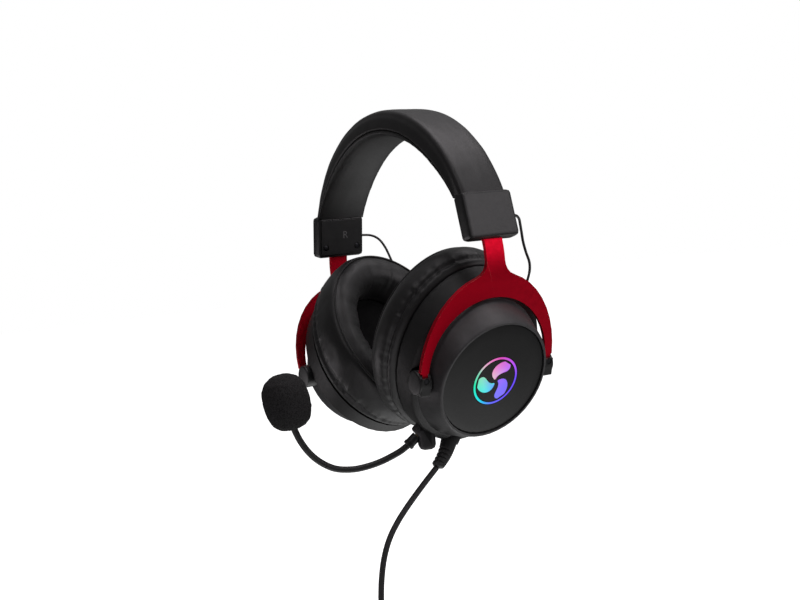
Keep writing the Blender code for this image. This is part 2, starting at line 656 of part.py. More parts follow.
def cup_shell(name, side, frame):
    """Back shell: round rim and dome that widen to an oval skirt, hollow, with pivot pockets."""
    rim = PLATE_RADIUS + GAP
    sections = [
        oval(PLATE_SEAT, rim, rim, PLATE_RISE), oval(12.2, rim, rim, PLATE_RISE),
        oval(12.2, rim + 1.2, rim + 1.2, PLATE_RISE), oval(11.0, rim + 2.2, rim + 2.3, 0.8),
        oval(4.0, 39.4, 41.6, 0.4), oval(-4.6, 41.6, 45.4, 0.2), oval(-6.0, 44.0, 49.8, 1.0),
        oval(-8.0, 45.4, 52.2, 1.8), oval(-21.5, 45.4, 55.0, 3.2),
        oval(-21.5, 45.4 - SHELL_WALL, 55.0 - SHELL_WALL, 3.2), oval(-9.0, 43.0, 50.0, 1.8),
        oval(-6.4, 39.6, 43.6, 0.4), oval(3.0, 37.4, 39.4, 0.4), oval(8.0, 35.0, 35.6, PLATE_RISE),
        oval(8.0, 24.2, 24.2, PLATE_RISE), oval(PLATE_SEAT, 24.2, 24.2, PLATE_RISE)]
    shell = lofted("cup_shell_" + name, sections, "satin_plastic", frame, ring=True)
    for spot, across in (("front", -1), ("rear", 1)):
        label = "%s_%s" % (name, spot)
        boolean(shell, tool_rod("pocket_" + label, POCKET_RADIUS, (across * POCKET_FLOOR, 0, 0),
                                (across * 60, 0, 0), frame, 40))
        boolean(shell, tool_rod("stub_hole_" + label, STUB_RADIUS + GAP, (across * 30, 0, 0),
                                (across * 50, 0, 0), frame, 20))
    before, end = [(side * x, y, z) for x, y, z in (SIDE_LEAD_ROUTE[-3], SIDE_LEAD_ROUTE[-1])]
    boolean(shell, tool_rod("lead_entry_" + name, LEAD_RADIUS + GAP, before, end, None, 16))
    return shell


def make_cup(name, side):
    """The pieces that both cups share, from the outer plate in to the cushion."""
    frame = anchor("cup_frame_" + name, cup_frame(side))
    shell = cup_shell(name, side, frame)
    round_frame = anchor("plate_frame_" + name, Matrix.Identity(4))
    round_frame.parent = frame
    round_frame.location = metres((0.0, PLATE_RISE, 0.0))

    def dome(radius):
        return PLATE_EDGE + (PLATE_CROWN - PLATE_EDGE) * (1 - (radius / PLATE_RADIUS) ** 2)

    back = PLATE_SEAT + GAP
    turned("outer_plate_" + name,
           [(RING_OUTER + GAP, dome(RING_OUTER)), (22.0, dome(22.0)), (29.0, dome(29.0)),
            (PLATE_RADIUS - 0.6, dome(PLATE_RADIUS - 0.6)), (PLATE_RADIUS, PLATE_EDGE - 0.4),
            (PLATE_RADIUS, back), (RING_OUTER + GAP, back)], "plate_plastic", round_frame)
    turned("light_guide_" + name,
           [(RING_INNER, dome(RING_INNER)), (RING_OUTER, dome(RING_OUTER)), (RING_OUTER, PLATE_SEAT),
            (23.8, PLATE_SEAT), (23.8, 8.1), (9.0, 8.1), (9.0, PLATE_SEAT), (RING_INNER, PLATE_SEAT)],
           "diffuser", round_frame)
    cap = RING_INNER - GAP
    turned("emblem_cap_" + name,
           [(0.0, dome(0.0)), (7.0, dome(7.0)), (cap, dome(cap)), (cap, back), (0.0, back)],
           "plate_plastic", round_frame, ring=False)
    turned("led_board_" + name, [(4.0, 7.6), (22.0, 7.6), (22.0, 6.0), (4.0, 6.0)], "board", round_frame, 32)

    wide, tall = 44.5, 54.1
    lofted("baffle_" + name,
           [oval(BAFFLE_FRONT, DRIVER_RADIUS + GAP, DRIVER_RADIUS + GAP, 0.0),
            oval(BAFFLE_FRONT, wide, tall, 3.2), oval(BAFFLE_BACK, wide, tall, 3.2),
            oval(BAFFLE_BACK, DRIVER_RADIUS + GAP, DRIVER_RADIUS + GAP, 0.0)],
           "black_plastic", frame, ring=True)
    turned("driver_" + name,
           [(0.0, -6.0), (11.0, -6.0), (11.0, -12.0), (17.0, -14.5), (DRIVER_RADIUS, -18.5),
            (DRIVER_RADIUS, BAFFLE_BACK + 0.2), (18.6, BAFFLE_BACK + 0.2), (17.6, -21.0), (9.0, -20.0),
            (0.0, -20.4)], "dark_steel", frame, 28, ring=False)
    turned("ear_screen_" + name, [(0.0, CUSHION_BACK), (26.2, CUSHION_BACK), (26.2, -24.7), (0.0, -24.7)],
           "cloth", frame, 36, ring=False)
    cushion = [
        (CUSHION_BACK, 43.6, 53.2), (-25.6, 46.0, 55.4), (-30.0, 49.2, 58.0), (-37.0, 50.2, 58.8),
        (-43.0, 49.0, 57.8), (-46.6, 45.4, 54.2), (-48.0, 40.0, 48.6), (-47.2, 34.4, 42.6),
        (-44.0, 29.6, 37.6), (-38.0, EAR_HALF_WIDTH, EAR_HALF_HEIGHT),
        (-28.0, EAR_HALF_WIDTH, EAR_HALF_HEIGHT),
        (CUSHION_BACK, EAR_HALF_WIDTH + 1.6, EAR_HALF_HEIGHT + 1.6)]
    lofted("ear_cushion_" + name, [oval(height, width, tall, 3.2, 32) for height, width, tall in cushion],
           "leatherette", frame, ring=True)
    return frame, shell


# ======================================================================================
# Microphone: boss and socket in the left cup, plug, gooseneck and foam-covered head
# ======================================================================================

def make_microphone(shell):
    mouth = Vector(JACK_MOUTH)
    direction = Vector(JACK_DIRECTION).normalized()
    jack = anchor("jack_frame", axis_matrix(mouth, direction))
    boss = block("mic_boss_tool", (2 * BOSS_HALF_WIDTH, 2 * BOSS_HALF_WIDTH, BOSS_LENGTH),
                 (0.0, 0.0, -BOSS_LENGTH / 2), None, jack, 1.6, TOOLS)
    boolean(shell, as_tool(boss), "UNION")
    foot = anchor("mic_foot_frame", frame_matrix(FOOT_CENTRE, (0, 0, 1), (direction.x, direction.y, 0)))
    boolean(shell, tool_block("mic_foot", FOOT_SIZE, (0, 0, 0), foot, 3.0), "UNION")
    boolean(shell, tool_rod("sleeve_space", SLEEVE_RADIUS + 0.4, (0, 0, 0), (0, 0, 14), jack))
    boolean(shell, tool_rod("socket_bore", SOCKET_RADIUS + GAP, (0, 0, -BOSS_LENGTH + 1.6), (0, 0, 3), jack))
    turned("mic_socket",
           [(PIN_RADIUS + 0.2, -0.4), (SOCKET_RADIUS, -0.4), (SOCKET_RADIUS, -BOSS_LENGTH + 2.0),
            (PIN_RADIUS + 0.2, -BOSS_LENGTH + 2.0)], "steel", jack, 20)
    turned("mic_plug_pin",
           [(0.0, 3.0), (PIN_RADIUS, 3.0), (PIN_RADIUS, -PIN_DEPTH + 2.6),
            (PIN_RADIUS - 0.5, -PIN_DEPTH + 2.0), (PIN_RADIUS - 0.1, -PIN_DEPTH + 1.2), (0.0, -PIN_DEPTH)],
           "gold", jack, 16, ring=False)
    turned("mic_sleeve",
           [(0.0, SLEEVE_LENGTH), (SLEEVE_RADIUS - 0.5, SLEEVE_LENGTH), (SLEEVE_RADIUS, SLEEVE_LENGTH - 0.5),
            (SLEEVE_RADIUS, SLEEVE_LENGTH - 2.0), (SLEEVE_RADIUS - 0.3, SLEEVE_LENGTH - 2.3),
            (SLEEVE_RADIUS - 0.3, GAP), (PIN_RADIUS + 0.2, GAP), (PIN_RADIUS + 0.2, 3.3), (0.0, 3.3)],
           "black_plastic", jack, 20, ring=False)
    tube("gooseneck_lower", GOOSENECK_RADIUS, GOOSENECK_LOWER, "rubber", 3.4)
    tube("gooseneck_upper", GOOSENECK_RADIUS, GOOSENECK_UPPER, "rubber", 3.4)
    head = anchor("mic_head_frame", axis_matrix(MIC_BASE, MIC_DIRECTION))
    turned("mic_body",
           [(0.0, 22.0), (MIC_BODY_RADIUS - 1.0, 22.0), (MIC_BODY_RADIUS, 21.0), (MIC_BODY_RADIUS, 8.0),
            (GOOSENECK_RADIUS + 0.3, 2.0), (GOOSENECK_RADIUS + 0.1, 0.0), (0.0, 0.0)],
           "black_plastic", head, 24, ring=False)
    turned("mic_capsule", [(0.0, 25.2), (4.6, 25.2), (4.6, 22.3), (0.0, 22.3)], "steel", head, 24, ring=False)
    inside = MIC_BODY_RADIUS + GAP
    turned("mic_foam",
           [(0.0, FOAM_LENGTH), (5.5, FOAM_LENGTH - 0.7), (10.0, FOAM_LENGTH - 3.4),
            (12.9, FOAM_LENGTH - 8.4), (FOAM_RADIUS, FOAM_LENGTH - 15.0), (13.2, 11.0), (11.4, 5.6),
            (8.4, 2.4), (inside, 1.6),
            (inside, 25.6), (0.0, 25.6)], "foam", head, 24, ring=False)


# ======================================================================================
# Cable: strain relief, free length, coil, tail and plug
# ======================================================================================

def make_cable(shell):
    radius = CABLE_DIAMETER / 2
    start, end = Vector(RELIEF_START), Vector(RELIEF_END)
    relief = anchor("relief_frame", axis_matrix(start, end - start))
    length = (end - start).length
    profile = [(0.0, 0.0), (RELIEF_RADIUS, 0.0), (RELIEF_RADIUS, 4.0)]
    for index in range(RELIEF_GROOVES):
        base = 4.0 + 2.4 * index
        wide = RELIEF_RADIUS + (RELIEF_TIP - RELIEF_RADIUS) * (index + 1) / RELIEF_GROOVES
        deep = wide - 0.6
        profile += [(deep, base + 0.2), (deep, base + 0.7), (wide, base + 0.9), (wide, base + 2.4)]
    profile += [(RELIEF_TIP, length - 1.6), (RELIEF_TIP - 1.0, length - 0.2), (radius + 0.3, length),
                (0.0, length)]
    turned("strain_relief", list(reversed(profile)), "rubber", relief, 16, ring=False)
    boolean(shell, tool_rod("relief_boss", RELIEF_RADIUS + 0.8, (0, 0, -7), (0, 0, -0.2), relief), "UNION")
    boolean(shell, tool_rod("relief_seat", RELIEF_RADIUS + 0.9, (0, 0, -0.3), (0, 0, 7), relief))
    tube("cable", radius, CABLE_ROUTE, "rubber", 7.2)
    angles = [math.pi * 2 * index / 8 for index in range(8)]
    coil_profile = [(COIL_MEAN_RADIUS + COIL_BUNDLE_RADIUS * math.sin(angle),
                     COIL_BUNDLE_RADIUS * math.cos(angle)) for angle in angles]
    coil = turned("cable_coil", coil_profile, "rubber", None, 32)
    coil.location = metres(COIL_CENTRE)
    coil.rotation_euler = (0.0, math.pi / 2, 0.0)
    tube("cable_tail", radius, TAIL_ROUTE, "rubber", 5.0)
    width, thickness, grip_length = PLUG_GRIP
    plug = anchor("plug_frame", frame_matrix(PLUG_TOP, (0.0, 0.0, -1.0), (0.0, 1.0, 0.0)))
    block("usb_plug_grip", (width, grip_length, thickness), (0.0, grip_length / 2, 0.0), "rubber", plug, 1.0)
    width, thickness, shell_length = PLUG_SHELL
    block("usb_plug_shell", (width, shell_length, thickness),
          (0.0, grip_length + GAP + shell_length / 2, 0.0), "steel", plug, 0.0)


def make_side_lead(name, side):
    route = [(side * x, y, z) for x, y, z in SIDE_LEAD_ROUTE]
    tube("side_lead_" + name, LEAD_RADIUS, route, "rubber", 3.2, sides=1)


# ======================================================================================
# Build
# ======================================================================================

clear_scene()
PARTS = collection("gaming_headset")
TOOLS = collection("cutting_tools")
MATERIALS = make_materials()
SIDES = (("left", 1), ("right", -1))

make_headband()
for side_name, side_sign in SIDES:
    make_housing(side_name, side_sign)
    make_fork(side_name, side_sign)
    cup_anchor, shell = make_cup(side_name, side_sign)
    make_side_lead(side_name, side_sign)
    if side_name == "left":
        left_shell = shell
        make_microphone(shell)
        block("control_board", (44.0, 20.0, 1.6), (0.0, -14.0, 1.0), "board", cup_anchor)
make_cable(left_shell)
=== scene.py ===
"""Looks of the gaming headset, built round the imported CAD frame. Lengths are in millimetres."""

import json
import math

import bmesh
import bpy
import numpy as np
from mathutils import Matrix, Vector, noise

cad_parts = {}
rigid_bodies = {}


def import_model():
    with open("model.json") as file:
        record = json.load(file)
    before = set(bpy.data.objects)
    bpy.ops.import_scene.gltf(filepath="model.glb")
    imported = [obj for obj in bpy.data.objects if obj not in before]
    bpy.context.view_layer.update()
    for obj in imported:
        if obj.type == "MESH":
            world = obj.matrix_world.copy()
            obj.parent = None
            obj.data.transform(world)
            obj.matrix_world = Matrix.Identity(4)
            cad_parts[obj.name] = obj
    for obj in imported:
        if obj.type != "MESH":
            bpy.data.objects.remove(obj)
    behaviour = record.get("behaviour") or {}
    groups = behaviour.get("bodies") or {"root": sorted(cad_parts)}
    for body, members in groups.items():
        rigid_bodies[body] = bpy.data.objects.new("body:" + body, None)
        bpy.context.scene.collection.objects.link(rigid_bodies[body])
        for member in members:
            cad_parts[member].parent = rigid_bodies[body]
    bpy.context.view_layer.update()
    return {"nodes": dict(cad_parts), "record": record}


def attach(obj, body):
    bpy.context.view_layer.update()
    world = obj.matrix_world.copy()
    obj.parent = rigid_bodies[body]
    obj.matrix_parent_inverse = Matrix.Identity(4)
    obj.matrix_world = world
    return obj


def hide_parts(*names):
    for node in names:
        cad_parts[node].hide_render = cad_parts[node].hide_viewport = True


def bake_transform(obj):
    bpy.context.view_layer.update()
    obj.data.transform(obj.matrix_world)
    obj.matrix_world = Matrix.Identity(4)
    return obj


MM = 0.001
SIDES = (("left", 1), ("right", -1))

for item in list(bpy.data.objects):
    bpy.data.objects.remove(item)
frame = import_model()
NODES = frame["nodes"]

# ---- Sizes shared with the CAD ----
BAND_HALF_SPAN = 92.6
BAND_RISE = 92.3
CREST_HEIGHT = 17.1
BAND_CENTRE_Z = CREST_HEIGHT - BAND_RISE
BAND_END_ANGLE = 68.0
BAND_TOP_HALF_WIDTH = 15.3
BAND_SEAM_HALF_WIDTH = 17.6
HOUSING_LEAN = math.radians(11.0)
HOUSING_FOOT = (93.6, -68.2)
HOUSING_DEPTH = 10.1
PIVOT = (66.9, -145.8)
CUP_TILT = math.radians(26.2)
CUSHION_RISE = 3.2
CABLE_DIAMETER = 3.5
RELIEF_START = (37.9, -8.8, -186.9)
RELIEF_END = (38.6, -19.8, -200.9)
CABLE_ROUTE = [(38.6, -20.1, -201.2), (38.9, -28.2, -207.4), (39.3, -36.6, -214.0), (39.8, -44.6, -220.6),
               (40.2, -52.0, -227.6), (40.5, -58.6, -235.8), (40.7, -63.6, -246.0), (40.7, -66.8, -258.0),
               (40.6, -68.6, -271.0), (40.4, -69.4, -284.0), (40.2, -70.2, -294.6)]
COIL_CENTRE = (40.0, -55.6, -314.0)
COIL_MEAN_RADIUS = 16.6
TAIL_ROUTE = [(40.0, -81.6, -315.0), (40.0, -81.7, -321.0), (40.0, -81.8, -328.5)]
GOOSENECK_RADIUS = 1.95
GOOSENECK_ROUTE = [(32.9, -34.2, -185.2), (32.3, -35.5, -186.3), (30.5, -39.2, -188.8), (28.2, -43.6, -191.0),
                   (25.6, -50.0, -193.4), (22.8, -57.6, -195.1), (20.0, -66.1, -195.7), (17.4, -75.2, -194.2),
                   (15.6, -82.0, -190.7), (14.4, -88.0, -185.6), (13.8, -92.6, -179.8), (13.5, -96.2, -173.4),
                   (13.55, -98.6, -167.4), (13.7, -99.0, -165.9)]
LEAD_RADIUS = 0.8
SIDE_LEAD_ROUTE = [(84.0, 15.0, -56.3), (83.9, 18.6, -56.4), (82.6, 23.6, -57.0), (80.6, 27.2, -58.9),
                   (78.4, 29.4, -62.0), (76.4, 31.4, -67.0), (75.0, 33.0, -72.8), (74.4, 34.8, -78.8),
                   (74.4, 36.6, -84.8), (74.4, 36.2, -90.0), (74.0, 34.4, -95.0), (72.4, 33.0, -100.0),
                   (70.6, 32.4, -104.6), (69.2, 32.4, -108.0)]


# ---- Helpers ----

def metres(point):
    return tuple(Vector(point) * MM)


def linked(name, data):
    """A new object in the scene, from a mesh or other data."""
    item = bpy.data.objects.new(name, data)
    bpy.context.scene.collection.objects.link(item)
    return item


def tilted_frame(side, lean, place):
    """Millimetres in a frame whose Z axis points away from the head, leaning down by an angle, and Y up."""
    out = Vector((side * math.cos(lean), 0.0, -math.sin(lean)))
    up = Vector((side * math.sin(lean), 0.0, math.cos(lean)))
    turn = Matrix((up.cross(out), up, out)).transposed().to_4x4()
    return Matrix.Translation((side * place[0], 0.0, place[1])) @ turn


def smoothstep(value, low, high):
    t = np.clip((np.asarray(value, float) - low) / (high - low), 0.0, 1.0)
    return t * t * (3 - 2 * t)


def full_turn(count):
    """Evenly spaced angles round a full turn."""
    return np.linspace(0, 2 * math.pi, count, endpoint=False)


def smooth_route(points, spacing, closed=False):
    """Points at an even spacing along a smooth curve through a route's own points."""
    knots = [Vector(point) for point in points]
    if closed:
        knots = [knots[-1]] + knots + [knots[0], knots[1]]
    else:
        knots = [2 * knots[0] - knots[1]] + knots + [2 * knots[-1] - knots[-2]]
    fine = []
    for before, start, end, after in zip(knots, knots[1:], knots[2:], knots[3:]):
        for step in range(16):
            t = step / 16
            fine.append(0.5 * ((2 * start) + (end - before) * t
                               + (2 * before - 5 * start + 4 * end - after) * t ** 2
                               + (3 * start - before - 3 * end + after) * t ** 3))
    fine.append(knots[-2])
    fine = np.array([tuple(point) for point in fine])
    steps = np.concatenate([[0.0], np.cumsum(np.linalg.norm(np.diff(fine, axis=0), axis=1))])
    count = max(2, round(steps[-1] / spacing))
    even = np.linspace(0.0, steps[-1], count + 1)
    return np.stack([np.interp(even, steps, fine[:, axis]) for axis in range(3)], axis=1)


def add_mesh(name, points, faces, material, smooth=True):
    """A mesh object from points in millimetres, in the row frame."""
    data = bpy.data.meshes.new(name)
    data.from_pydata([tuple(point) for point in np.asarray(points) * MM], [], faces)
    data.validate()
    builder = bmesh.new()
    builder.from_mesh(data)
    bmesh.ops.recalc_face_normals(builder, faces=builder.faces)
    builder.to_mesh(data)
    builder.free()
    data.polygons.foreach_set("use_smooth", [smooth] * len(data.polygons))
    data.materials.append(material)
    return linked(name, data)


def grid_faces(rows, columns, closed):
    """Four-sided faces between round rows of points, with the last row joined to the first if closed."""
    faces = []
    for row in range(rows if closed else rows - 1):
        below = (row + 1) % rows
        for column in range(columns):
            after = (column + 1) % columns
            faces.append((row * columns + column, row * columns + after,
                          below * columns + after, below * columns + column))
    return faces


def lofted(name, rows, material, ring=False):
    """A closed mesh through outlines of equal length, capped at both ends unless it is a ring."""
    rows = np.asarray(rows, float)
    count, columns = rows.shape[:2]
    faces = grid_faces(count, columns, ring)
    if not ring:
        faces.append(tuple(range(columns)))
        faces.append(tuple(range((count - 1) * columns, count * columns)))
    return add_mesh(name, rows.reshape(-1, 3), faces, material)


def tube(name, route, radius, material, sides, closed=False):
    """A round tube along a route of points, with its frame carried smoothly along."""
    route = np.asarray(route, float)
    count = len(route)
    ahead = np.roll(route, -1, axis=0) if closed else np.vstack([route[1:], 2 * route[-1] - route[-2]])
    behind = np.roll(route, 1, axis=0) if closed else np.vstack([2 * route[0] - route[1], route[:-1]])
    tangents = ahead - behind
    tangents /= np.linalg.norm(tangents, axis=1)[:, None]
    side = np.cross(tangents[0], (0.3, 0.2, 0.93))  # no route starts in this direction
    side /= np.linalg.norm(side)
    rows = []
    turns = full_turn(sides)
    for index in range(count):
        side = side - tangents[index] * (side @ tangents[index])
        side /= np.linalg.norm(side)
        other = np.cross(tangents[index], side)
        rows.append(route[index] + radius * (np.cos(turns)[:, None] * side + np.sin(turns)[:, None] * other))
    return lofted(name, rows, material, ring=closed)


def mesh_points(item):
    points = np.zeros(len(item.data.vertices) * 3)
    item.data.vertices.foreach_get("co", points)
    return points.reshape(-1, 3)


def mesh_normals(item):
    normals = np.zeros(len(item.data.vertices) * 3)
    item.data.vertex_normals.foreach_get("vector", normals)
    return normals.reshape(-1, 3)


def set_points(item, points):
    item.data.vertices.foreach_set("co", np.asarray(points).ravel())
    item.data.update()


def welded(data):
    """An editable copy of a mesh, with its doubled points joined."""
    builder = bmesh.new()
    builder.from_mesh(data)
    bmesh.ops.remove_doubles(builder, verts=builder.verts, dist=1e-6)
    return builder


def push_out(item, heights):
    """Moves each point of a mesh along its normal by its own height in millimetres."""
    set_points(item, (mesh_points(item) / MM + mesh_normals(item) * heights[:, None]) * MM)


def wave(points, size, seed, depth=2):
    """Smooth noise from about -1 to 1 at points in millimetres, for features of one size."""
    offset = Vector((seed * 13.7, seed * 5.1, seed * 9.3))
    return np.array([noise.fractal(Vector(point) / size + offset, 0.8, 2.0, depth) for point in points])


# ---- Materials ----

def colour_ramp(tree, source, stops):
    """The colours of a ramp with stops of (position, colour or grey value), driven by a source."""
    made = tree.nodes.new("ShaderNodeValToRGB")
    points = made.color_ramp.elements
    while len(points) < len(stops):
        points.new(0.5)
    for point, (position, colour) in zip(points, stops):
        point.position = position
        point.color = (*colour, 1.0) if isinstance(colour, tuple) else (colour, colour, colour, 1.0)
    tree.links.new(source, made.inputs["Fac"])
    return made.outputs["Color"]


class Shader:
    """A Principled material with a few procedural layers, all in object space."""

    def __init__(self, name, **values):
        self.material = bpy.data.materials.new(name)
        self.material.use_nodes = True
        self.tree = self.material.node_tree
        self.surface = self.tree.nodes["Principled BSDF"]
        for key, value in values.items():
            self.surface.inputs[key.replace("_", " ")].default_value = value
        self.place = self.tree.nodes.new("ShaderNodeTexCoord").outputs["Object"]
        self.height = None

    def link(self, source, target):
        self.tree.links.new(source, target)

    def node(self, kind, **settings):
        made = self.tree.nodes.new(kind)
        for key, value in settings.items():
            if key in made.inputs:
                made.inputs[key].default_value = value
            else:
                setattr(made, key, value)
        return made

    def noise(self, size, detail=2.0, stretch=None):
        """Noise whose features are about one size, in millimetres."""
        made = self.node("ShaderNodeTexNoise", Scale=1.0 / (size * MM), Detail=detail)
        self.link(self.stretched(stretch), made.inputs["Vector"])
        return made.outputs["Fac"]

    def stretched(self, stretch):
        if stretch is None:
            return self.place
        mapping = self.node("ShaderNodeMapping", Scale=stretch)
        self.link(self.place, mapping.inputs["Vector"])
        return mapping.outputs["Vector"]

    def cells(self, size, feature="F1"):
        made = self.node("ShaderNodeTexVoronoi", feature=feature, Scale=1.0 / (size * MM))
        self.link(self.place, made.inputs["Vector"])
        return made.outputs["Distance"]

    def paint(self, source, *stops):
        self.link(colour_ramp(self.tree, source, stops), self.surface.inputs["Base Color"])

    def rough(self, source, low, high):
        limits = {"From Min": 0.3, "From Max": 0.7, "To Min": low, "To Max": high}
        made = self.node("ShaderNodeMapRange", **limits)
        self.link(source, made.inputs["Value"])
        self.link(made.outputs["Result"], self.surface.inputs["Roughness"])

    def bump(self, source, strength, distance):
        """Adds a layer of relief, its distance in millimetres, over any earlier one."""
        made = self.node("ShaderNodeBump", Strength=strength, Distance=distance * MM)
        self.link(source, made.inputs["Height"])
        if self.height is not None:
            self.link(self.height, made.inputs["Normal"])
        self.height = made.outputs["Normal"]
        self.link(self.height, self.surface.inputs["Normal"])


def leather(name, dark, light, low, high, grain):
    """Soft leatherette: pebbled grain, finer creases and a roughness that varies from low to high."""
    made = Shader(name, IOR=1.48, Sheen_Weight=0.06, Sheen_Roughness=0.5)
    made.paint(made.noise(14.0), (0.3, dark), (0.7, light))
    made.rough(made.noise(1.5, 3.0), low, high)
    made.bump(made.cells(grain, "SMOOTH_F1"), 0.22, 0.07)
    made.bump(made.noise(0.35, 3.0), 0.12, 0.04)
    made.bump(made.noise(3.0), 0.06, 0.10)
    return made.material


def plastic(name, dark, light, low, high, grain, strength, shine=0.5):
    """Moulded plastic with a spark-eroded texture."""
    made = Shader(name, IOR=1.5, Specular_IOR_Level=shine)
    made.paint(made.noise(6.0, 3.0), (0.3, dark), (0.7, light))
    made.rough(made.noise(1.2, 3.0), low, high)
    made.bump(made.noise(grain, 2.0), strength, 0.05)
    return made.material


def anodised(name, dark, light):
    """Bead-blasted, dyed aluminium."""
    made = Shader(name, Metallic=1.0, IOR=1.5)
    made.paint(made.noise(0.22, 1.0), (0.32, dark), (0.68, light))
    made.rough(made.noise(2.4, 4.0), 0.40, 0.52)
    made.bump(made.noise(0.16), 0.22, 0.03)
    return made.material


def metal(name, colour, low, high):
    """Bare or plated metal with fine drawn lines."""
    made = Shader(name, Metallic=1.0)
    made.paint(made.noise(2.0, 3.0), (0.3, tuple(0.8 * part for part in colour)), (0.7, colour))
    made.rough(made.noise(1.0, 3.0), low, high)
    made.bump(made.noise(0.2, 2.0, (1.0, 1.0, 0.1)), 0.08, 0.03)
    return made.material


def foam_shader(name):
    """Open-cell foam: small pits, painted darker as painted shade, between matte struts."""
    made = Shader(name, IOR=1.35, Specular_IOR_Level=0.25)
    pits = made.cells(0.75)
    # painted shade: the colour darkens towards the middle of each pit
    made.paint(pits, (0.10, (0.008, 0.0077, 0.008)), (0.55, (0.032, 0.031, 0.032)))
    made.rough(made.noise(1.0), 0.85, 0.98)
    made.bump(pits, 0.9, 0.35)
    made.bump(made.noise(0.5), 0.5, 0.15)
    return made.material


def glowing(name, strength):
    """A light guide lit from behind; its colour is stored at the piece's points."""
    made = Shader(name, Roughness=0.45, Specular_IOR_Level=0.25)
    colour = made.node("ShaderNodeAttribute", attribute_name="glow")
    made.link(colour.outputs["Color"], made.surface.inputs["Emission Color"])
    made.surface.inputs["Emission Strength"].default_value = strength
    made.surface.inputs["Base Color"].default_value = (0.012, 0.012, 0.013, 1.0)
    made.bump(made.noise(0.5, 1.0), 0.05, 0.05)
    return made.material


BAND_LEATHER = leather("band_leatherette", (0.0098, 0.0095, 0.0098), (0.0120, 0.0116, 0.0121),
                       0.44, 0.50, 0.75)
CUSHION_LEATHER = leather("cushion_leatherette", (0.0112, 0.0109, 0.0113), (0.0145, 0.0141, 0.0146),
                          0.42, 0.48, 0.7)
# painted shade: the piping's leather is coloured about three times darker than the cushion's, standing in for
# the shade along the seam
PIPING_SHADED_LEATHER = leather("piping_leatherette_painted_shade", (0.0035, 0.0034, 0.0035), (0.005, 0.0049, 0.005),
                         0.5, 0.6, 0.7)
BLACK_PLASTIC = plastic("black_plastic", (0.014, 0.014, 0.0145), (0.021, 0.021, 0.0215),
                        0.34, 0.44, 0.30, 0.16)
SATIN_PLASTIC = plastic("satin_plastic", (0.037, 0.0357, 0.038), (0.048, 0.0463, 0.049),
                        0.40, 0.50, 0.26, 0.16)
# painted shade: the shell's skirt is coloured darker than its dome, though it is the same plastic; it is also
# rougher
SKIRT_SHADE_PLASTIC = plastic("skirt_painted_shade", (0.0085, 0.0082, 0.0086), (0.013, 0.0126, 0.0131),
                        0.46, 0.56, 0.30, 0.3, 0.4)
PLATE_PLASTIC = plastic("plate_plastic", (0.0060, 0.0060, 0.0062), (0.0085, 0.0085, 0.0088),
                        0.40, 0.48, 0.24, 0.12, 0.34)
RED_METAL = anodised("red_aluminium", (0.62, 0.0035, 0.020), (0.75, 0.006, 0.030))
PRINT = plastic("grey_print", (0.13, 0.128, 0.132), (0.16, 0.157, 0.161), 0.5, 0.6, 0.1, 0.1)
# the bevels of the fork plate: partly the real cut edge, partly a painted highlight along it
CUT_EDGE_HIGHLIGHT = metal("cut_red_edge_highlight", (1.0, 0.26, 0.23), 0.34, 0.42)
RUBBER = plastic("cable_rubber", (0.027, 0.0262, 0.027), (0.036, 0.035, 0.036), 0.46, 0.58, 0.5, 0.14)
BOOM_RUBBER = plastic("boom_rubber", (0.015, 0.015, 0.0155), (0.023, 0.023, 0.0235), 0.42, 0.54, 0.5, 0.14)
FOAM = foam_shader("black_foam")
SCREEN = plastic("screen_cloth", (0.003, 0.003, 0.0032), (0.006, 0.006, 0.0062), 0.85, 0.98, 0.7, 0.8, 0.15)
GLOW = glowing("lit_diffuser", 1.0)

SLOT_MATERIALS = {
    "band_leatherette": BAND_LEATHER,
    "cushion_leatherette": CUSHION_LEATHER,
    "foam": FOAM,
    "screen_cloth": SCREEN,
    "black_plastic": BLACK_PLASTIC,
    "satin_plastic": SATIN_PLASTIC,
    "plate_plastic": PLATE_PLASTIC,
    "diffuser": PLATE_PLASTIC,
    "cable_rubber": RUBBER,
    "boom_rubber": BOOM_RUBBER,
    "red_aluminium": RED_METAL,
    "steel": metal("bright_steel", (0.56, 0.56, 0.57), 0.22, 0.34),
    "dark_steel": metal("black_steel", (0.045, 0.045, 0.05), 0.30, 0.42),
    "gold": metal("gold_plate", (0.80, 0.58, 0.24), 0.18, 0.28),
    "board": plastic("circuit_board", (0.010, 0.075, 0.03), (0.016, 0.11, 0.045), 0.30, 0.45, 0.5, 0.1),
}


# ---- CAD nodes that stay: material and shading ----

def smoothing_group(angle):
    """A node group that shades smooth across every edge flatter than an angle."""
    tree = bpy.data.node_groups.new("smooth_by_angle", "GeometryNodeTree")
    tree.interface.new_socket("Geometry", in_out="INPUT", socket_type="NodeSocketGeometry")
    tree.interface.new_socket("Geometry", in_out="OUTPUT", socket_type="NodeSocketGeometry")
    add, link = tree.nodes.new, tree.links.new
    entry = add("NodeGroupInput")
    leave = add("NodeGroupOutput")
    edge = add("GeometryNodeInputMeshEdgeAngle")
    flat = add("FunctionNodeCompare")
    flat.operation = "LESS_THAN"
    flat.inputs["B"].default_value = angle
    faces = add("GeometryNodeSetShadeSmooth")
    edges = add("GeometryNodeSetShadeSmooth")
    edges.domain = "EDGE"
    link(edge.outputs["Unsigned Angle"], flat.inputs["A"])
    link(entry.outputs[0], faces.inputs["Geometry"])
    link(faces.outputs[0], edges.inputs["Geometry"])
    link(flat.outputs["Result"], edges.inputs["Shade Smooth"])
    link(edges.outputs[0], leave.inputs[0])
    return tree


SMOOTHING = smoothing_group(math.radians(34))


def shade_by_angle(item):
    """Smooth shading across gentle edges only, with normals that follow the larger faces."""
    shade = item.modifiers.new("smooth", "NODES")
    shade.node_group = SMOOTHING
    even = item.modifiers.new("even", "WEIGHTED_NORMAL")
    even.keep_sharp = True


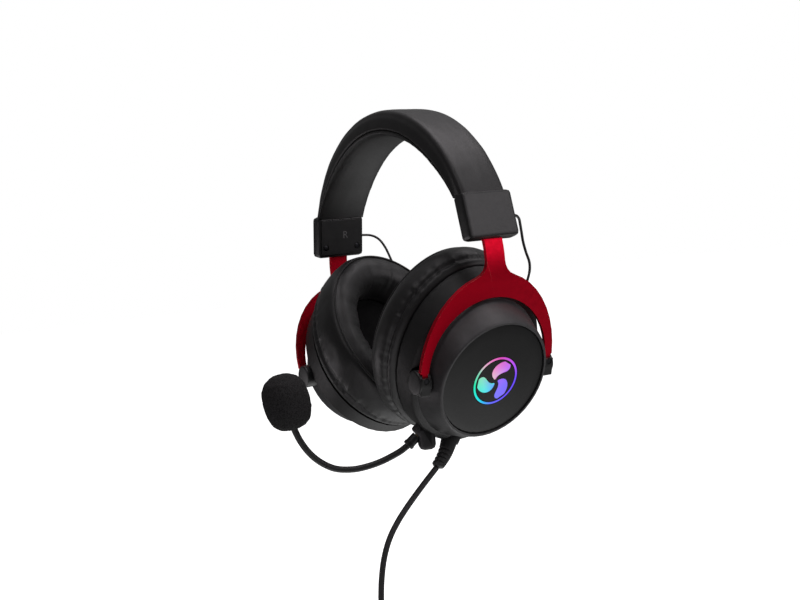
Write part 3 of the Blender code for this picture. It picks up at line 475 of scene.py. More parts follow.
def finish_nodes():
    """Gives every CAD node its slot's material and smooth shading."""
    slots = {part["node"]: part["material_slot"] for part in frame["record"]["subparts"]}
    for name, node in NODES.items():
        node.data.materials.clear()
        node.data.materials.append(SLOT_MATERIALS[slots[name]])
        weld = node.modifiers.new("weld", "WELD")
        weld.merge_threshold = 1e-6
        shade_by_angle(node)


finish_nodes()


# ---- Forks: the plate's bend between crown and stem, rounded as a press brake leaves it ----

FORK_LEAN = math.radians(17.5)
FORK_FOOT = (72.6, -141.0)
STEM_BEND = 61.9
BEND_REACH = 12.0
FORK_BEND = HOUSING_LEAN + FORK_LEAN


def colour_cut_edges_and_highlights(builder):
    """The narrow bevels round the plate, neither along it nor square to it, are bright: a brighter metal that
    is partly the real cut edge and partly a painted highlight.
    """
    stem_out = Vector((0.0, math.sin(FORK_BEND), math.cos(FORK_BEND)))
    for face in builder.faces:
        plate_out = stem_out if face.calc_center_median().y > STEM_BEND else Vector((0.0, 0.0, 1.0))
        face.material_index = int(0.3 < abs(face.normal.dot(plate_out)) < 0.95)


def round_the_bend(builder):
    """Cuts the plate across near its sharp bend and moves those points onto an arc."""
    bend = FORK_BEND
    corner = Vector((0.0, STEM_BEND, 0.0))
    stem = Vector((0.0, math.cos(bend), -math.sin(bend)))
    for along in np.arange(-BEND_REACH, BEND_REACH + 0.1, 1.5):
        direction = Vector((0.0, 1.0, 0.0)) if along < 0 else stem
        everything = builder.verts[:] + builder.edges[:] + builder.faces[:]
        bmesh.ops.bisect_plane(builder, geom=everything, dist=1e-4, plane_co=corner + direction * along,
                               plane_no=direction)
    radius = BEND_REACH / math.tan(bend / 2)
    for vertex in builder.verts:
        rise, lift = vertex.co.y - STEM_BEND, vertex.co.z
        if rise * math.cos(bend / 2) - lift * math.sin(bend / 2) > 0:
            rise, lift = (rise * math.cos(bend) - lift * math.sin(bend),
                          rise * math.sin(bend) + lift * math.cos(bend))
        if abs(rise) < BEND_REACH:
            turn = bend * (rise + BEND_REACH) / (2 * BEND_REACH)
            vertex.co.y = STEM_BEND - BEND_REACH + (radius + lift) * math.sin(turn)
            vertex.co.z = (radius + lift) * math.cos(turn) - radius


def make_fork(name, side):
    matrix = tilted_frame(side, FORK_LEAN, FORK_FOOT)
    builder = welded(NODES["fork_" + name].data)
    builder.transform(matrix.inverted() @ Matrix.Scale(1 / MM, 4))
    builder.normal_update()
    colour_cut_edges_and_highlights(builder)
    round_the_bend(builder)
    builder.transform(Matrix.Scale(MM, 4) @ matrix)
    data = bpy.data.meshes.new("fork_plate_" + name)
    builder.to_mesh(data)
    builder.free()
    data.shade_smooth()
    data.materials.append(RED_METAL)
    data.materials.append(CUT_EDGE_HIGHLIGHT)
    fork = linked("fork_plate_" + name, data)
    shade_by_angle(fork)
    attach(fork, "fork_" + name)
    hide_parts("fork_" + name)


for name, side in SIDES:
    make_fork(name, side)


# ---- Headband ----

BAND_REACH = BAND_END_ANGLE + 1.6  # both ends of the leather are hidden in the housings
BAND_SECTIONS = 150
SQUARING_ANGLE = 52.0  # from here on the band turns square to its housing


def band_taper(angle, amount, power):
    return amount * (abs(angle) / BAND_END_ANGLE) ** power


def band_depth(angle):
    return CREST_HEIGHT - band_taper(angle, 9.0, 2.6)


def seam_depth(angle):
    return 12.4 - band_taper(angle, 5.2, 3.5)


def band_place(angle, across, depth):
    """A point on the band: an angle in degrees along the arch, across it, and below its surface."""
    turn = math.radians(angle)
    surface = Vector((BAND_HALF_SPAN * math.sin(turn), 0.0, BAND_CENTRE_Z + BAND_RISE * math.cos(turn)))
    inward = Vector((-math.sin(turn) / BAND_HALF_SPAN, 0.0, -math.cos(turn) / BAND_RISE)).normalized()
    square_end = Vector((-math.cos(HOUSING_LEAN) * math.copysign(1, angle), 0.0, -math.sin(HOUSING_LEAN)))
    mix = max(0.0, (abs(angle) - SQUARING_ANGLE) / (BAND_END_ANGLE - SQUARING_ANGLE))
    inward = inward.lerp(square_end, mix).normalized()
    return surface + inward * depth + Vector((0.0, across, 0.0))


def even_outline(knots, count):
    """An open outline of (across, depth) knots, made smooth and evenly spaced."""
    route = smooth_route([(across, depth, 0.0) for across, depth in knots], 0.05)
    steps = np.linspace(0, len(route) - 1, count).round().astype(int)
    return [(route[step][0], route[step][1]) for step in steps]


def cover_outline(angle):
    """The outer cover: crowned on top, rounded over to sides that spread towards the seam."""
    seam = seam_depth(angle)
    top, side = BAND_TOP_HALF_WIDTH, BAND_SEAM_HALF_WIDTH
    outer = even_outline([(0.0, 0.0), (5.0, 0.03), (10.0, 0.16), (12.6, 0.36), (14.2, 0.9), (15.2, 1.9),
                          (15.8, 3.3), (top + 0.9 + 0.3 * (side - top), 0.25 * seam + 2.6),
                          (side + 0.25, seam - 1.3), (side - 0.15, seam - 0.35),
                          (side - 0.9, seam - 0.12)], 34)
    inner = [(side - 2.0, seam - 0.3), (top - 1.0, 3.2), (top - 3.6, 1.6), (0.0, 1.4)]
    return outer + inner


def pad_outline(angle):
    """The head pad: a pillow below the seam."""
    seam, depth = seam_depth(angle), band_depth(angle)
    side, crown = BAND_SEAM_HALF_WIDTH, depth - seam
    top = min(6.6, seam - 0.8)
    inner = [(0.0, top), (side - 4.4, top), (side - 3.2, top + 0.4), (side - 3.0, seam)]
    outer = even_outline([(side - 1.0, seam + 0.1), (side - 0.2, seam + 0.35),
                          (side + 0.15, seam + 0.22 * crown), (side - 0.3, seam + 0.48 * crown),
                          (side - 2.3, seam + 0.76 * crown), (side - 6.0, seam + 0.94 * crown),
                          (8.0, depth), (0.0, depth + 0.1)], 30)
    return inner + outer


def both_halves(half):
    """A closed outline from one half, both of whose ends lie on the middle line."""
    return half + [(-across, depth) for across, depth in reversed(half[1:-1])]


def band_piece(name, outline):
    rows = []
    for angle in np.linspace(-BAND_REACH, BAND_REACH, BAND_SECTIONS):
        section = both_halves(outline(angle))
        rows.append([tuple(band_place(angle, across, depth)) for across, depth in section])
    return lofted(name, rows, BAND_LEATHER)


def make_headband():
    cover = band_piece("band_cover", cover_outline)
    points = mesh_points(cover) / MM
    push_out(cover, wave(points * (0.35, 1.0, 0.35), 4.5, 1.0) * 0.10 + wave(points, 16.0, 2.0) * 0.16)
    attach(cover, "headband")
    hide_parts("headband_cover", "headband_foam")

    pad = band_piece("band_pad", pad_outline)
    points = mesh_points(pad) / MM
    edge = smoothstep(abs(points[:, 1]), 13.5, 17.0)
    push_out(pad, (wave(points * (1.0, 0.3, 1.0), 3.4, 3.0) * 0.16 * edge
                   + wave(points, 16.0, 4.0, 1) * 0.16 * (1 - 0.6 * edge)))
    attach(pad, "headband")
    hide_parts("headband_pad")


make_headband()


MARK_ACROSS, MARK_RISE, MARK_LIFT = 2.9, 13.0, 0.03


def make_side_mark(name, side):
    """The letter for left or right, printed on the inner face of a slider housing."""
    text = bpy.data.curves.new("letter_" + name, "FONT")
    text.body = name[0].upper()
    text.size = 6.9
    text.extrude = 0.05
    text.align_x = "CENTER"
    shape = linked("letter_" + name, text)
    bpy.context.view_layer.update()
    data = bpy.data.meshes.new_from_object(shape.evaluated_get(bpy.context.evaluated_depsgraph_get()))
    bpy.data.objects.remove(shape)
    place = Matrix.Translation((-MARK_ACROSS, MARK_RISE, -HOUSING_DEPTH - MARK_LIFT))
    towards_head = Matrix.Diagonal((-1.0, 1.0, -1.0, 1.0))
    housing = tilted_frame(side, -HOUSING_LEAN, HOUSING_FOOT)
    data.transform(Matrix.Scale(MM, 4) @ housing @ place @ towards_head)
    data.materials.clear()
    data.materials.append(PRINT)
    mark = linked("side_mark_" + name, data)
    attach(mark, "headband")


for name, side in SIDES:
    make_side_mark(name, side)


# ---- Ear cushions ----

def cup_matrix(side):
    return tilted_frame(side, CUP_TILT, PIVOT)


CUSHION_PROFILE = [  # distance along the cup's axis, half width and half height
    (-24.2, 43.8, 53.4), (-25.2, 46.4, 55.8), (-27.2, 47.9, 57.2), (-29.1, 47.5, 56.8), (-29.9, 47.1, 56.4),
    (-31.2, 49.0, 58.0), (-34.6, 50.3, 58.9), (-38.6, 50.6, 59.1), (-42.0, 49.8, 58.5), (-44.4, 48.3, 57.2),
    (-45.2, 47.2, 56.1), (-45.9, 46.2, 55.1), (-47.2, 43.8, 52.8), (-48.2, 39.8, 48.6), (-47.9, 35.6, 44.0),
    (-45.8, 31.4, 39.6), (-42.0, 28.6, 36.8), (-36.0, 27.3, 35.5), (-29.0, 27.4, 35.6), (-24.2, 28.8, 36.8)]
CUSHION_ROWS = 84
CUSHION_STEPS = 300
CUSHION_TURNS = full_turn(CUSHION_STEPS)
PIPING = (-46.1, 47.0, 55.9)  # a point of the profile, as above
PIPING_RADIUS = 0.75


def cushion_profile():
    """The closed profile, evenly spaced."""
    route = smooth_route(CUSHION_PROFILE, 0.1, closed=True)[:-1]
    steps = np.linspace(0, len(route), CUSHION_ROWS, endpoint=False).round().astype(int)
    return route[steps]


def cushion_ring(height, half_width, half_height):
    """One point of the profile, carried round the cushion's oval."""
    return np.stack([half_width * np.cos(CUSHION_TURNS), CUSHION_RISE + half_height * np.sin(CUSHION_TURNS),
                     np.full(CUSHION_STEPS, height)], axis=1)


def bump_at(profile, depth, width, height, reach):
    """A rounded peak of one height at one place on the profile, fading over its reach."""
    distance = np.hypot(profile[:, 0] - depth, profile[:, 1] - width)
    return np.exp(-(distance / reach) ** 2) * height


LEANS = {  # yaw and pitch of a cushion's front face, then its shift along the cup's own X and Y axes
    "left": (0.0, 0.0, 0.0, 0.0), "right": (math.radians(-9.0), math.radians(4.5), -6.0, 2.8)}


def leaned(points, lean):
    """Soft foam set askew: the front face turns and shifts, and the base stays on the shell."""
    yaw, pitch, aside, upwards = lean
    share = smoothstep(-points[:, 2], 24.0, 44.0)
    sideways = share * smoothstep(points[:, 1], -60.0, -35.0)
    moved = points.copy()
    moved[:, 2] += (sideways * math.tan(yaw) * points[:, 0]
                    + share * math.tan(pitch) * np.maximum(points[:, 1] - CUSHION_RISE, -22.0))
    moved[:, 0] += sideways * aside
    moved[:, 1] += share * upwards
    return moved


def cushion_relief(profile, points, side):
    """How far the leather stands out at each point: gathers, folds and soft swelling."""
    around = np.stack([50 * np.cos(CUSHION_TURNS), 58 * np.sin(CUSHION_TURNS),
                       np.full(CUSHION_STEPS, 7.0 * side)], axis=1)
    fine = wave(around, 2.3, 5.0 + side)
    middle = wave(around, 4.2, 7.0 + side)
    broad = wave(around, 15.0, 9.0 + side, 1)
    # gathers on both sides of the sewn line next to the shell
    behind = bump_at(profile, -28.2, 47.6, 1.0, 1.5)
    ahead = bump_at(profile, -31.4, 49.0, 1.0, 2.1)
    ripple = (np.outer(behind, 0.55 * fine + 0.20 * middle)
              + np.outer(ahead, 0.75 * np.maximum(fine + 0.1, -0.2) + 0.40 * middle))
    # folds that fan out from the hole, deepest where the foam is slack
    fold = bump_at(profile, -46.4, 32.6, 1.0, 4.6) + bump_at(profile, -41.0, 28.4, 0.8, 4.5)
    slack = 0.25 + 0.9 * np.maximum(0.0, np.cos(CUSHION_TURNS + math.radians(35.0))) ** 1.5
    creases = 0.9 * middle + 1.5 * wave(around, 9.0, 11.0 + side, 1)
    ripple += np.outer(fold, creases * (0.8 + 0.4 * broad) * slack)
    ripple = ripple.reshape(-1)
    # slow unevenness of the front face and the outer wall
    soft = bump_at(profile, -47.6, 39.0, 1.0, 9.0) + bump_at(profile, -37.0, 50.0, 1.0, 6.0)
    ripple += np.repeat(soft, CUSHION_STEPS) * wave(points, 13.0, 13.0 + side) * 0.42
    # none where the base meets the shell
    return ripple * np.repeat(smoothstep(-profile[:, 0], 24.3, 25.6), CUSHION_STEPS)


def make_cushion(name, side):
    profile = cushion_profile()
    rows = np.array([cushion_ring(*place) for place in profile])
    points = leaned(rows.reshape(-1, 3), LEANS[name])
    matrix = np.array(cup_matrix(side))

    def placed(local):
        return local @ matrix[:3, :3].T + matrix[:3, 3]

    smooth_rows = placed(points).reshape(rows.shape)
    cushion = lofted("ear_cushion_cover_" + name, smooth_rows, CUSHION_LEATHER, ring=True)
    relief = cushion_relief(profile, points, side)
    set_points(cushion, (placed(points) + mesh_normals(cushion) * relief[:, None]) * MM)
    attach(cushion, "cup_" + name)
    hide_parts("ear_cushion_" + name)

    ring = placed(leaned(cushion_ring(*PIPING), LEANS[name]))
    piping = tube("cushion_piping_" + name, ring, PIPING_RADIUS, PIPING_SHADED_LEATHER, 8, closed=True)
    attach(piping, "cup_" + name)


SKIRT_TOP = -5.0
SKIRT_HALF_WIDTH, SKIRT_HALF_HEIGHT = 45.4, 55.0


def paint_skirt_shade(name, side):
    """The shell's skirt, next to the cushion, is painted darker than its dome as painted shade, and has a
    rougher surface.
    """
    shell, inverse = NODES["cup_shell_" + name], cup_matrix(side).inverted()
    shell.data.materials.append(SKIRT_SHADE_PLASTIC)
    for polygon in shell.data.polygons:
        x, y, z = inverse @ (polygon.center / MM)
        reach = (x / SKIRT_HALF_WIDTH) ** 2 + ((y - CUSHION_RISE) / SKIRT_HALF_HEIGHT) ** 2
        # these faces get the darker material: painted shade on the skirt
        if z < SKIRT_TOP and reach < 1.03:
            polygon.material_index = 1


def make_ear_cloth(name, side):
    """Acoustic cloth, domed a little, stretched over the driver and across the hole in the cushion."""
    matrix = cup_matrix(side)
    rings, segments = 12, 96
    half_width, half_height, edge_depth, crown, thickness = 28.4, 36.4, -24.6, 1.6, 0.35
    points, faces = [], []
    for back in (0.0, thickness):
        for ring in range(1, rings + 1):
            share = ring / rings
            for step in range(segments):
                angle = 2 * math.pi * step / segments
                points.append((half_width * share * math.cos(angle),
                               CUSHION_RISE + half_height * share * math.sin(angle),
                               edge_depth - crown * (1 - share ** 2) + back))
        points.append((0.0, CUSHION_RISE, edge_depth - crown + back))
    sheet = rings * segments + 1
    for base in (0, sheet):
        faces += [tuple(base + index for index in face) for face in grid_faces(rings, segments, False)]
        faces += [(base + sheet - 1, base + step, base + (step + 1) % segments) for step in range(segments)]
    edge = (rings - 1) * segments
    for step in range(segments):
        here, after = edge + step, edge + (step + 1) % segments
        faces.append((here, after, sheet + after, sheet + here))
    cloth = add_mesh("ear_cloth_" + name, [matrix @ Vector(point) for point in points], faces, SCREEN)
    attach(cloth, "cup_" + name)
    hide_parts("ear_screen_" + name)


for name, side in SIDES:
    make_cushion(name, side)
    make_ear_cloth(name, side)
    paint_skirt_shade(name, side)


# ---- Light ring and emblem on the outer plates ----

GLOW_WHEEL = [  # degrees from the cup's up direction, clockwise as seen from outside, and colour
    (0, (0.70, 0.07, 0.46)), (45, (0.52, 0.08, 0.92)), (90, (0.15, 0.07, 0.97)),
    (140, (0.14, 0.07, 0.98)), (180, (0.12, 0.13, 0.98)), (203, (0.02, 0.42, 0.96)),
    (225, (0.0, 0.82, 0.80)), (270, (0.01, 0.82, 0.42)), (298, (0.25, 0.66, 0.48)),
    (318, (0.78, 0.46, 0.60)), (340, (0.82, 0.20, 0.56)), (360, (0.70, 0.07, 0.46))]
PLATE_RISE = 0.9
INLAY_LIFT = 0.08
INLAY_PALE = 0.08


def dome(radius):
    """Height of the plate's domed face at a radius from its middle."""
    return 11.4 + 1.7 * (1 - (radius / 35.3) ** 2)


def wheel_colour(angle):
    """The colour at an angle in radians round the ring, mixed from the two nearest entries."""
    degrees = math.degrees(angle) % 360
    for (low, first), (high, second) in zip(GLOW_WHEEL, GLOW_WHEEL[1:]):
        if low <= degrees <= high:
            mix = (degrees - low) / (high - low)
            return [a + (b - a) * mix for a, b in zip(first, second)]


def store_glow(item, colours):
    layer = item.data.color_attributes.new("glow", "FLOAT_COLOR", "POINT")
    layer.data.foreach_set("color", np.array([(*colour, 1.0) for colour in colours]).ravel())


def inlay(name, outline, side):
    """A thin lit shape that follows the dome, from an outline of (across, up) points."""
    matrix = cup_matrix(side)
    count = len(outline)
    top = [(x, y + PLATE_RISE, dome(math.hypot(x, y)) + INLAY_LIFT) for x, y in outline]
    low = [(x, y + PLATE_RISE, dome(math.hypot(x, y)) - 0.4) for x, y in outline]
    local = top + low
    faces = [tuple(range(count)), tuple(range(2 * count - 1, count - 1, -1))]
    for index in range(count):
        after = (index + 1) % count
        faces.append((index, index + count, after + count, after))
    item = add_mesh(name, [matrix @ Vector(point) for point in local], faces, GLOW, smooth=False)
    colours = []
    for x, y, _ in local:
        colour = wheel_colour(math.atan2(x, y - PLATE_RISE))
        colours.append([part + (1.0 - part) * INLAY_PALE for part in colour])
    store_glow(item, colours)
    return item


def make_ring(name, side):
    """The lit ring round the emblem: a low band with rounded shoulders."""
    matrix = cup_matrix(side)
    section = [(13.95, -0.5), (13.95, 0.02), (14.15, 0.10), (15.05, 0.10), (15.25, 0.02), (15.25, -0.5)]
    rows, colours = [], []
    for turn in full_turn(120):
        across, up = math.sin(turn), math.cos(turn)
        rows.append([tuple(matrix @ Vector((radius * across, radius * up + PLATE_RISE, dome(radius) + lift)))
                     for radius, lift in section])
        colours += [wheel_colour(turn)] * len(section)
    ring = lofted("light_ring_" + name, rows, GLOW, ring=True)
    store_glow(ring, colours)
    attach(ring, "cup_" + name)


def blade(turn):
    """One curved blade of a plain three-bladed swirl."""
    outer, inner = [], []
    for step in np.linspace(0.0, 1.0, 16):
        radius = 1.6 + 11.2 * step
        bend = turn + 1.05 * step ** 1.3
        width = 0.98 * math.sin(math.pi * min(1.0, step * 0.84 + 0.10)) ** 0.7
        outer.append((radius * math.sin(bend + width), radius * math.cos(bend + width)))
        inner.append((radius * math.sin(bend - 0.35 * width), radius * math.cos(bend - 0.35 * width)))
    return outer + list(reversed(inner))


def make_emblem(name, side):
    for index in range(3):
        part = inlay(f"emblem_{name}_{index + 1}", blade(2 * math.pi * index / 3 - 0.6), side)
        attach(part, "cup_" + name)


for name, side in SIDES:
    make_ring(name, side)
    make_emblem(name, side)


# ---- Microphone: gooseneck and foam windscreen ----

SLEEVE_JOIN = GOOSENECK_ROUTE[8]


def make_gooseneck():
    route = smooth_route(GOOSENECK_ROUTE, 0.9)
    middle = int(np.argmin(np.linalg.norm(route - np.array(SLEEVE_JOIN), axis=1)))
    first = tube("boom_sleeve_lower", route[:middle + 1], GOOSENECK_RADIUS, BOOM_RUBBER, 20)
    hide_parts("gooseneck_lower")
    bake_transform(first)
    second = tube("boom_sleeve_upper", route[middle:], GOOSENECK_RADIUS, BOOM_RUBBER, 20)
    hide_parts("gooseneck_upper")
    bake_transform(second)


def make_windscreen():
    """The CAD foam, remeshed finely enough to carry the pores and dents of real foam."""
    data = bpy.data.meshes.new("windscreen")
    builder = welded(NODES["mic_foam"].data)
    builder.to_mesh(data)
    builder.free()
    foam = linked("windscreen", data)
    remesh = foam.modifiers.new("remesh", "REMESH")
    remesh.mode = "VOXEL"
    remesh.voxel_size = 0.8 * MM
    soften = foam.modifiers.new("soften", "SMOOTH")
    soften.iterations = 12
    bpy.context.view_layer.update()
    shaped = bpy.data.meshes.new_from_object(foam.evaluated_get(bpy.context.evaluated_depsgraph_get()))
    foam.modifiers.clear()
    foam.data = shaped
    shaped.materials.clear()
    shaped.materials.append(FOAM)
    shaped.shade_smooth()
    points = mesh_points(foam) / MM
    push_out(foam, wave(points, 1.5, 17.0) * 0.22 + wave(points, 9.0, 19.0, 1) * 0.3 + 0.15)
    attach(foam, "mic_head")
    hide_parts("mic_foam")


make_gooseneck()
make_windscreen()


# ---- Leads from the slider housings to the cups ----

LEAD_JOIN_HEIGHT = -78.0


def make_side_lead(name, side):
    """Two lengths that meet at one height: the upper from the slider housing, the lower down to the cup."""
    route = smooth_route([(side * x, y, z) for x, y, z in SIDE_LEAD_ROUTE], 0.8)
    middle = int(np.argmin(abs(route[:, 2] - LEAD_JOIN_HEIGHT)))
    upper_route, lower_route = route[:middle + 1], route[middle:]
    upper = tube("side_lead_upper_" + name, upper_route, LEAD_RADIUS, RUBBER, 10)
    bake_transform(upper)
    lower = tube("side_lead_lower_" + name, lower_route, LEAD_RADIUS, RUBBER, 10)
    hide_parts("side_lead_" + name)
    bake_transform(lower)


for name, side in SIDES:
    make_side_lead(name, side)


# ---- Main cable: free length, coil, tail and tie ----

COIL_ROWS = (4, 5, 4, 4)  # turns side by side in each layer, from the outside in
ENTRY_ANGLE = math.radians(132.0)
LAST_ANGLE = math.radians(180.0)
SHIFT_ARC = math.radians(100.0)  # part of each turn over which it moves to its next place
COIL_STEP = math.radians(15.0)
TIE_ANGLE = math.radians(35.0)
TIE_RADIUS = 9.1


def coil_places():
    """Places of the turns in the bundle: (outwards, sideways) in cable diameters, neighbours in turn."""
    places = []
    for row, count in enumerate(COIL_ROWS):
        across = [index - (count - 1) / 2 for index in range(count)]
        shift = 0.25 if row == 3 else -0.25 if row == 2 else 0.0
        line = [(1.35 - row * 0.9, place + shift) for place in across]
        places += line if row % 2 == 0 else line[::-1]
    return places


def coil_route():
    """Turn after turn round the coil's centre, from the cable's entry to where the tail leaves."""
    places = [(out * CABLE_DIAMETER, sideways * CABLE_DIAMETER) for out, sideways in coil_places()]
    route = []
    total = 2 * math.pi * (len(places) - 1) + (LAST_ANGLE - ENTRY_ANGLE) % (2 * math.pi)
    for index in range(int(total / COIL_STEP) + 1):
        travelled = index * COIL_STEP
        turn = min(int(travelled / (2 * math.pi)), len(places) - 1)
        within = travelled - turn * 2 * math.pi
        here, there = places[turn], places[min(turn + 1, len(places) - 1)]
        mix = float(smoothstep(within, 2 * math.pi - SHIFT_ARC, 2 * math.pi))
        out = here[0] + (there[0] - here[0]) * mix
        sideways = here[1] + (there[1] - here[1]) * mix
        angle = ENTRY_ANGLE + travelled
        radius = COIL_MEAN_RADIUS + out
        route.append((COIL_CENTRE[0] + sideways, COIL_CENTRE[1] + radius * math.cos(angle),
                      COIL_CENTRE[2] + radius * math.sin(angle)))
    return route


def make_tie():
    """A tie: a flat band round the bundle, slightly squared where it is pulled tight."""
    middle = np.array((COIL_CENTRE[0], COIL_CENTRE[1] + COIL_MEAN_RADIUS * math.cos(TIE_ANGLE),
                       COIL_CENTRE[2] + COIL_MEAN_RADIUS * math.sin(TIE_ANGLE)))
    out = np.array((0.0, math.cos(TIE_ANGLE), math.sin(TIE_ANGLE)))
    along = np.array((0.0, -math.sin(TIE_ANGLE), math.cos(TIE_ANGLE)))
    section = [(0, -1.9), (0.8, -1.9), (1.0, 0.0), (0.8, 1.9), (0, 1.9), (-0.1, 0.0)]
    rows = []
    for turn in full_turn(48):
        radius = TIE_RADIUS + 0.25 * math.cos(4 * turn)
        reach = out * math.cos(turn) + np.array((1.0, 0.0, 0.0)) * math.sin(turn)
        rows.append([middle + reach * (radius + lift) + along * place for lift, place in section])
    tie = lofted("cable_tie", rows, RUBBER, ring=True)
    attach(tie, "cup_left")
    return tie


BOOT_ROOT_RADIUS = 5.15
BOOT_TAPER = 1.45
BOOT_TIP_ROUNDING = 1.5
BOOT_BOW = 1.1
BOOT_SLOTS = (5.0, 15.8)  # where along the boot the slots start and end
SLOT_PITCH = 2.7
SLOT_HALF_WIDTH = 0.5
SLOT_DEPTH = 0.9


def make_relief():
    """A tapered boot, bowed a little, with four slots that stop short of the spine along its back."""
    start, end = np.array(RELIEF_START), np.array(RELIEF_END)
    length = float(np.linalg.norm(end - start))
    axis = (end - start) / np.linalg.norm(end - start)
    side = np.cross(axis, (0.0, 1.0, 0.0))
    side /= np.linalg.norm(side)
    spine = np.cross(side, axis)
    first_slot, last_slot = BOOT_SLOTS
    rows = []
    for along in np.arange(-1.0, length + 0.01, 0.2):
        share = min(1.0, max(0.0, along / length))
        radius = BOOT_ROOT_RADIUS - BOOT_TAPER * share ** 0.8
        radius -= BOOT_TIP_ROUNDING * float(smoothstep(along, length - 1.6, length + 0.3)) ** 2
        slot = 0.0
        if first_slot < along < last_slot:
            off_centre = abs((along - first_slot) % SLOT_PITCH - SLOT_PITCH / 2)
            slot = max(0.0, 1.0 - off_centre / SLOT_HALF_WIDTH)
        bow = BOOT_BOW * math.sin(math.pi * share)
        row = []
        for turn in full_turn(48):
            open_side = smoothstep(-math.cos(turn), -0.35, 0.0)
            reach = radius - SLOT_DEPTH * smoothstep(slot, 0.0, 0.6) * open_side
            row.append(start + axis * along + spine * (bow + reach * math.cos(turn))
                       + side * reach * math.sin(turn))
        rows.append(row)
    tip = start + axis * (length + 0.05)
    rows.append([tip + (point - tip) * 0.45 for point in rows[-1]])
    relief = lofted("cable_boot", rows, RUBBER)
    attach(relief, "cup_left")
    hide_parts("strain_relief")


def make_cable():
    route = smooth_route(CABLE_ROUTE + coil_route()[1:] + TAIL_ROUTE, 1.5)
    cable = tube("main_cable", route, CABLE_DIAMETER / 2, RUBBER, 10)
    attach(cable, "cup_left")
    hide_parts("cable", "cable_coil", "cable_tail")
    tie = make_tie()


make_relief()
make_cable()


# ---- Camera, lights and surroundings ----

# brightness of the surroundings by a direction's height and by how far it points backwards, from -1 to 1
WORLD_BY_HEIGHT = [(-1.0, 2.3), (-0.82, 1.7), (-0.70, 0.66), (-0.58, 0.34), (-0.40, 0.15), (0.0, 0.12),
                   (0.4, 0.24), (1.0, 0.5)]
WORLD_BY_DEPTH = [(-1.0, 0.35), (-0.5, 0.45), (0.0, 0.9), (0.5, 1.1), (1.0, 1.0)]
CAMERA_TARGET = (-14.86, 0.0, -101.5)
CAMERA_DISTANCE = 780.33
CAMERA_ANGLES = (57.78, 2.02, -5.83)  # azimuth, elevation and roll in degrees
WARM_WHITE = (1.0, 0.94, 0.975)


def make_camera():
    azimuth, elevation, roll = (math.radians(angle) for angle in CAMERA_ANGLES)
    right = Vector((math.cos(azimuth), math.sin(azimuth), 0.0))
    back = Vector((math.sin(azimuth) * math.cos(elevation), -math.cos(azimuth) * math.cos(elevation),
                   math.sin(elevation)))
    up = back.cross(right)
    across = right * math.cos(roll) + up * math.sin(roll)
    upwards = up * math.cos(roll) - right * math.sin(roll)
    data = bpy.data.cameras.new("camera")
    data.lens = 54.93
    data.sensor_width = 36.0
    data.clip_start, data.clip_end = 0.01, 20.0
    camera = linked("camera", data)
    camera.matrix_world = (Matrix.Translation(Vector(metres(CAMERA_TARGET)) + back * (CAMERA_DISTANCE * MM))
                           @ Matrix((across, upwards, back)).transposed().to_4x4())
    bpy.context.scene.camera = camera


def area_light(name, place, aim, size, power):
    """A rectangular light; its place, aim and size are in metres."""
    data = bpy.data.lights.new(name, "AREA")
    data.shape = "RECTANGLE"
    data.size, data.size_y = size
    data.energy = power
    data.color = WARM_WHITE
    light = linked(name, data)
    light.location = place
    light.visible_camera = False
    light.rotation_mode = "QUATERNION"
    light.rotation_quaternion = (Vector(aim) - Vector(place)).to_track_quat("-Z", "Y")


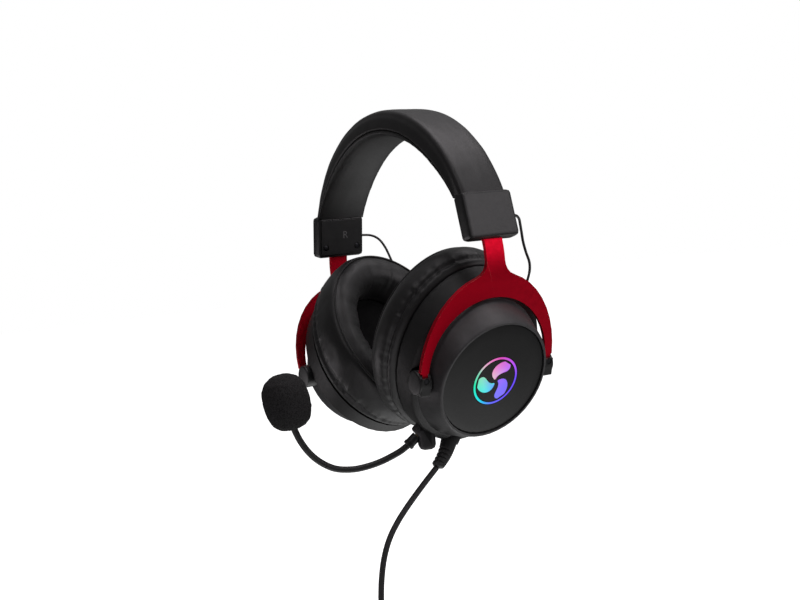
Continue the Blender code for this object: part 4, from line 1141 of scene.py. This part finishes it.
def make_world():
    """White to the camera; for light, a dim room with a bright floor, darker on the wearer's front side."""
    world = bpy.data.worlds.new("studio")
    bpy.context.scene.world = world
    world.use_nodes = True
    tree = world.node_tree
    tree.nodes.clear()
    add, link = tree.nodes.new, tree.links.new

    def brightness(source, stops):
        spread = add("ShaderNodeMapRange")
        spread.inputs["From Min"].default_value = -1.0
        link(source, spread.inputs["Value"])
        shifted = [((place + 1) / 2, value) for place, value in stops]
        return colour_ramp(tree, spread.outputs["Result"], shifted)

    output = add("ShaderNodeOutputWorld")
    mix = add("ShaderNodeMixShader")
    rays = add("ShaderNodeLightPath")
    seen = add("ShaderNodeBackground")
    lit = add("ShaderNodeBackground")
    seen.inputs["Color"].default_value = (1.0, 1.0, 1.0, 1.0)
    place = add("ShaderNodeTexCoord")
    parts = add("ShaderNodeSeparateXYZ")
    both = add("ShaderNodeMath")
    both.operation = "MULTIPLY"
    link(place.outputs["Generated"], parts.inputs["Vector"])
    link(brightness(parts.outputs["Z"], WORLD_BY_HEIGHT), both.inputs[0])
    link(brightness(parts.outputs["Y"], WORLD_BY_DEPTH), both.inputs[1])
    link(both.outputs[0], lit.inputs["Strength"])
    link(rays.outputs["Is Camera Ray"], mix.inputs["Fac"])
    link(lit.outputs[0], mix.inputs[1])
    link(seen.outputs[0], mix.inputs[2])
    link(mix.outputs[0], output.inputs["Surface"])


def make_floor():
    """A pale floor just below the plug, seen only directly; the headset hangs clear of it."""
    material = bpy.data.materials.new("pale_floor")
    material.use_nodes = True
    surface = material.node_tree.nodes["Principled BSDF"]
    surface.inputs["Base Color"].default_value = (0.9, 0.9, 0.9, 1.0)
    surface.inputs["Roughness"].default_value = 0.9
    surface.inputs["Emission Color"].default_value = (1.0, 1.0, 1.0, 1.0)
    surface.inputs["Emission Strength"].default_value = 1.0
    size, level = 9000.0, -365.0
    corners = [(-size, -size, level), (size, -size, level), (size, size, level), (-size, size, level)]
    floor = add_mesh("floor", corners, [(0, 1, 2, 3)], material, smooth=False)
    floor.visible_diffuse = False
    floor.visible_glossy = False


make_camera()
make_world()
make_floor()
area_light("right_softbox", (0.95, 0.60, 0.30), (0.05, 0.0, -0.10), (0.8, 0.8), 3.1)
area_light("overhead", (0.15, 0.25, 0.95), (0.0, 0.0, -0.08), (0.9, 0.9), 5.8)
area_light("front_low", (0.30, -0.95, -0.70), (0.0, 0.0, -0.14), (0.7, 0.7), 1.5)
area_light("left_fill", (-0.98, -0.95, -0.54), (-0.03, 0.0, -0.14), (0.7, 0.7), 3.1)
area_light("front_high", (0.50, -0.64, 0.62), (0.02, 0.0, -0.10), (0.3, 0.3), 0.9)
bpy.context.scene.view_settings.view_transform = "Standard"
